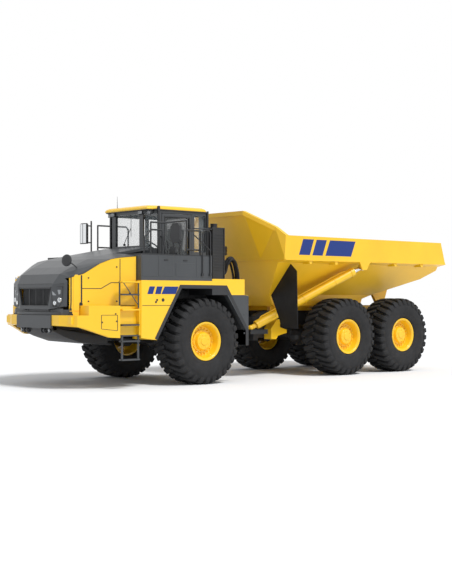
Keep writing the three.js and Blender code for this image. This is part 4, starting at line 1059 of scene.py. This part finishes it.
# ---- hoses across the hitch -----------------------------------------------------------------------
def make_hoses():
    """Three hoses from the cab's back over to the hitch."""
    spine = [
        (-1.080, 0.80, 2.34),
        (-1.230, 0.80, 2.38),
        (-1.300, 0.82, 2.58),
        (-1.410, 0.85, 2.69),
        (-1.520, 0.86, 2.56),
        (-1.580, 0.85, 2.20),
        (-1.510, 0.64, 1.80),
        (-1.300, 0.33, 1.62),
        (-1.190, 0.15, 1.56),
        (-1.165, 0.11, 1.44),
    ]
    bm = bmesh.new()
    for dx, dy, dz, radius in ((0, 0, 0, 0.046), (0.03, 0.095, -0.03, 0.026), (0.02, -0.095, -0.05, 0.026)):
        path = smooth_path([at(x + dx, y + dy, z + dz) for x, y, z in spine], 6)
        add_tube(bm, path, radius, 14)
        for k in range(8, len(path) - 6, 7):
            step = (path[k + 1] - path[k]).normalized() * 0.012
            add_rod(bm, path[k] - step, path[k] + step, radius * 1.16, 14)
    bmesh.ops.recalc_face_normals(bm, faces=bm.faces)
    mesh = bpy.data.meshes.new("hitch_hoses")
    bm.to_mesh(mesh)
    bm.free()
    mesh.materials.append(RUBBER)
    obj = bpy.data.objects.new("hitch_hoses", mesh)
    bpy.context.scene.collection.objects.link(obj)
    soften(obj, 0.001, 50, 1)
    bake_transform(obj)
    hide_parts("hose_arch")


# ---- behind the cab -------------------------------------------------------------------------------
def make_exhaust():
    """Fins, frame and tailpipe on the muffler's box, and the air cleaner's cap, bands and pipes."""
    bm = bmesh.new()
    for k in range(13):
        z = 2.42 + 0.065 * k
        add_box(bm, at(-1.12, 0.938, z - 0.012), at(-0.82, 0.952, z + 0.012))
    for x in (-1.135, -0.805):
        add_box(bm, at(x - 0.012, 0.935, 2.23), at(x + 0.012, 0.956, 3.32))
    add_box(bm, at(-1.150, 0.630, 3.320), at(-0.780, 0.950, 3.352))
    add_rod(bm, at(-0.965, 0.79, 3.34), at(-0.965, 0.79, 3.43), 0.075, 24)
    add_rod(bm, at(-0.965, 0.79, 3.425), at(-0.965, 0.79, 3.44), 0.082, 24)
    for z in (2.79, 2.855, 2.92):
        add_rod(bm, at(-1.22, 0.64, z - 0.010), at(-1.22, 0.64, z + 0.010), 0.208, 32)
    make("exhaust_fins", bm, BLACK, "front_unit", width=0.002)
    bm = bmesh.new()
    pipe = [at(-1.22, 0.64, 2.76), at(-1.22, 0.64, 2.60), at(-1.10, 0.60, 2.42), at(-1.02, 0.58, 2.22)]
    add_tube(bm, smooth_path(pipe, 6), 0.055, 16)
    for y in (-0.40, -0.62, -0.80):
        add_rod(bm, at(-0.96, y - 0.014, 2.76), at(-0.96, y + 0.014, 2.76), 0.156, 32)
    cap = [(0.0, 0.001), (0.0, 0.075), (0.03, 0.095), (0.075, 0.095), (0.10, 0.07), (0.11, 0.001)]
    add_lathe(bm, at(-0.96, -0.70, 3.30), (0, 0, 1), cap, 28)
    lines = [at(-1.13, 0.30, 2.25), at(-1.13, 0.30, 2.62), at(-1.13, 0.05, 2.75), at(-1.13, -0.30, 2.55)]
    add_tube(bm, smooth_path(lines, 5), 0.022, 10)
    lines = [at(-0.80, 0.20, 2.22), at(-0.90, 0.22, 2.55), at(-1.00, 0.45, 2.80), at(-1.00, 0.63, 2.95)]
    add_tube(bm, smooth_path(lines, 5), 0.020, 10)
    make("exhaust_pipes", bm, PLASTIC, "front_unit", width=0.001)


# ---- rear unit ------------------------------------------------------------------------------------
GUARD = [
    (-2.797, 0.847),
    (-2.797, 1.102),
    (-2.978, 1.313),
    (-3.083, 1.313),
    (-3.083, 1.123),
    (-3.303, 1.063),
    (-3.303, 0.987),
    (-3.020, 0.927),
    (-2.960, 0.847),
]


def make_rear_details():
    """Guards, bolts and pipes along the rear frame, and the tail lamps."""
    for side, s in sides():
        bm = bmesh.new()
        add_slab(bm, GUARD, s * 0.462, s * 0.704)
        make(f"frame_guard_{side}", bm, YELLOW, "rear_unit", width=0.006)
        bm = bmesh.new()
        for x in (-3.45, -4.15, -4.60, -5.75, -6.30, -6.75):
            for z in (1.37, 1.44):
                add_rod(bm, at(x, s * 0.455, z), at(x, s * 0.472, z), 0.014, 6)
        run = [at(-2.62, s * 0.475, 1.30), at(-3.20, s * 0.475, 1.30), at(-3.60, s * 0.475, 1.46)]
        run.append(at(-6.85, s * 0.475, 1.46))
        add_tube(bm, rounded_path(run, 0.10), 0.012, 8)
        make(f"frame_pipes_{side}", bm, BLACK, "rear_unit", width=0.001)
        bm = bmesh.new()
        add_box(bm, at(-7.062, s * 0.20, 1.36), at(-7.05, s * 0.44, 1.45))
        make(f"tail_lamp_case_{side}", bm, PLASTIC, "rear_unit", width=0.004)
        bm = bmesh.new()
        for y in (0.255, 0.32, 0.385):
            add_rod(bm, at(-7.060, s * y, 1.405), at(-7.068, s * y, 1.405), 0.027, 20)
        make(f"tail_lamp_glass_{side}", bm, LENS, "rear_unit", width=0.001)


def make_body_ribs():
    """Gussets under the body's top rail."""
    for side, s in sides():
        bm = bmesh.new()
        for x in (-3.05, -3.9, -6.0, -7.0):
            ring = [(x + 0.07, 2.645), (x + 0.03, 2.575), (x - 0.03, 2.575), (x - 0.07, 2.645)]
            add_slab(bm, ring, s * 1.52, s * 1.735)
        make(f"rail_gussets_{side}", bm, YELLOW, "dump_body", width=0.006)


def make_hoist_pipes():
    """A pipe clamped along each hoist's barrel, and the gland where the rod comes out."""
    for side, s in sides():
        foot = at(-2.130, s * 0.720, 1.120)
        eye = at(-4.860, s * 1.650, 2.540)
        along = (eye - foot).normalized()
        over = Vector((0, 0, 1)) - along * along.z
        over = (over.normalized() * 0.124) + Vector((0, s * 0.01, 0))
        bm = bmesh.new()
        run = [foot + along * d + over * k for d, k in ((0.30, 0.8), (0.34, 1.0), (2.70, 1.0), (2.76, 0.8))]
        add_tube(bm, rounded_path(run, 0.04), 0.016, 10)
        for d in (0.6, 1.5, 2.4):
            add_rod(bm, foot + along * (d - 0.02), foot + along * (d + 0.02), 0.108, 28)
        make(f"hoist_pipe_{side}", bm, YELLOW, f"hoist_barrel_{side}", width=0.002)
        bm = bmesh.new()
        add_rod(bm, foot + along * 2.955, foot + along * 2.985, 0.090, 28, end_radius=0.062)
        make(f"hoist_gland_{side}", bm, BLACK, f"hoist_barrel_{side}", width=0.003)


make_hoses()
make_exhaust()
make_rear_details()
make_body_ribs()
make_hoist_pipes()


# ---- CAD pieces that stay -------------------------------------------------------------------------
KEEP_MATERIAL = (
    (BLACK, "front_frame front_axle middle_axle rear_axle engine_block"),
    (BLACK, "rear_drive_shaft hitch rear_frame exhaust_box air_cleaner"),
    (GREY, "front_plate hood deck cab_shell cab_door"),
    (YELLOW, "bumper cab_roof"),
    (PLASTIC, "grille dashboard steering_wheel"),
    (GLASS, "cab_glass"),
    (DOOR_GLASS, "door_glass"),
    (SEAT, "seat"),
    (RUBBER, "hose_arch"),
    # The dump body takes the darker copy of the yellow enamel, which is painted shade.
    (YELLOW_SHADED, "dump_body"),
)
KEEP_BOTH_SIDES = (
    (YELLOW, "side_panel fender hoist_barrel rim_front rim_middle rim_rear"),
    (GREY, "ladder"),
    (BLACK, "handrail bogie_beam steering_barrel"),
    (PLASTIC, "mirror"),
    (RUBBER, "mudguard"),
    (CHROME, "hoist_rod steering_rod"),
    (TYRE, "tyre_front tyre_middle tyre_rear"),
)
keep = [(node, material) for material, nodes in KEEP_MATERIAL for node in nodes.split()]
for material, nodes in KEEP_BOTH_SIDES:
    keep += [(f"{node}_{side}", material) for side, _ in sides() for node in nodes.split()]
for node, material in keep:
    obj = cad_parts[node]
    obj.data.materials.clear()
    obj.data.materials.append(material)
    soften(obj, 0.005)


# ---- camera, floor and light ----------------------------------------------------------------------
def make_camera():
    data = bpy.data.cameras.new("camera")
    data.sensor_width = 36.0
    data.lens = 68.97
    data.shift_y = 0.0105
    data.clip_end = 200.0
    camera = bpy.data.objects.new("camera", data)
    yaw = math.radians(-131.236)
    camera.location = at(15.099, 19.527, 1.802)
    camera.rotation_euler = (math.pi / 2, 0.0, yaw - math.pi / 2)
    bpy.context.scene.collection.objects.link(camera)
    bpy.context.scene.camera = camera


def make_floor():
    bm = bmesh.new()
    size = 90.0
    corners_xy = ((-size, -size), (size, -size), (size, size), (-size, size))
    bm.faces.new([bm.verts.new((x, y, -0.002)) for x, y in corners_xy])
    mesh = bpy.data.meshes.new("floor")
    bm.to_mesh(mesh)
    bm.free()
    floor = bpy.data.objects.new("floor", mesh)
    bpy.context.scene.collection.objects.link(floor)
    m = Nodes("floor_paper")
    base = m.ramp(m.noise(0.4), [(0.3, (0.90, 0.90, 0.90, 1)), (0.7, (0.93, 0.93, 0.93, 1))])
    m.link(base, m.shader.inputs["Base Color"])
    m.set(Roughness=0.95, Specular_IOR_Level=0.0)
    mesh.materials.append(m.material)


def make_world():
    world = bpy.data.worlds.new("studio")
    world.use_nodes = True
    tree = world.node_tree
    tree.nodes.clear()
    out = tree.nodes.new("ShaderNodeOutputWorld")
    mix = tree.nodes.new("ShaderNodeMixShader")
    dim = tree.nodes.new("ShaderNodeBackground")
    dim.inputs["Color"].default_value = (0.92, 0.95, 1.0, 1)
    dim.inputs["Strength"].default_value = 0.62
    white = tree.nodes.new("ShaderNodeBackground")
    white.inputs["Color"].default_value = (1, 1, 1, 1)
    white.inputs["Strength"].default_value = 1.0
    rays = tree.nodes.new("ShaderNodeLightPath")
    first = tree.nodes.new("ShaderNodeMath")
    first.operation = "MAXIMUM"
    second = tree.nodes.new("ShaderNodeMath")
    second.operation = "MAXIMUM"
    link = tree.links.new
    link(rays.outputs["Is Camera Ray"], first.inputs[0])
    link(rays.outputs["Is Glossy Ray"], first.inputs[1])
    link(first.outputs[0], second.inputs[0])
    link(rays.outputs["Is Transmission Ray"], second.inputs[1])
    link(second.outputs[0], mix.inputs[0])
    link(dim.outputs[0], mix.inputs[1])
    link(white.outputs[0], mix.inputs[2])
    link(mix.outputs[0], out.inputs[0])
    bpy.context.scene.world = world


def make_lights():
    sun = bpy.data.lights.new("key", "SUN")
    sun.energy = 2.3
    sun.angle = math.radians(14)
    key = bpy.data.objects.new("key", sun)
    key.rotation_euler = Vector((0.10, -0.66, -0.95)).to_track_quat("-Z", "Y").to_euler()
    bpy.context.scene.collection.objects.link(key)


make_camera()
make_floor()
make_world()
make_lights()
bpy.context.scene.view_settings.view_transform = "Standard"
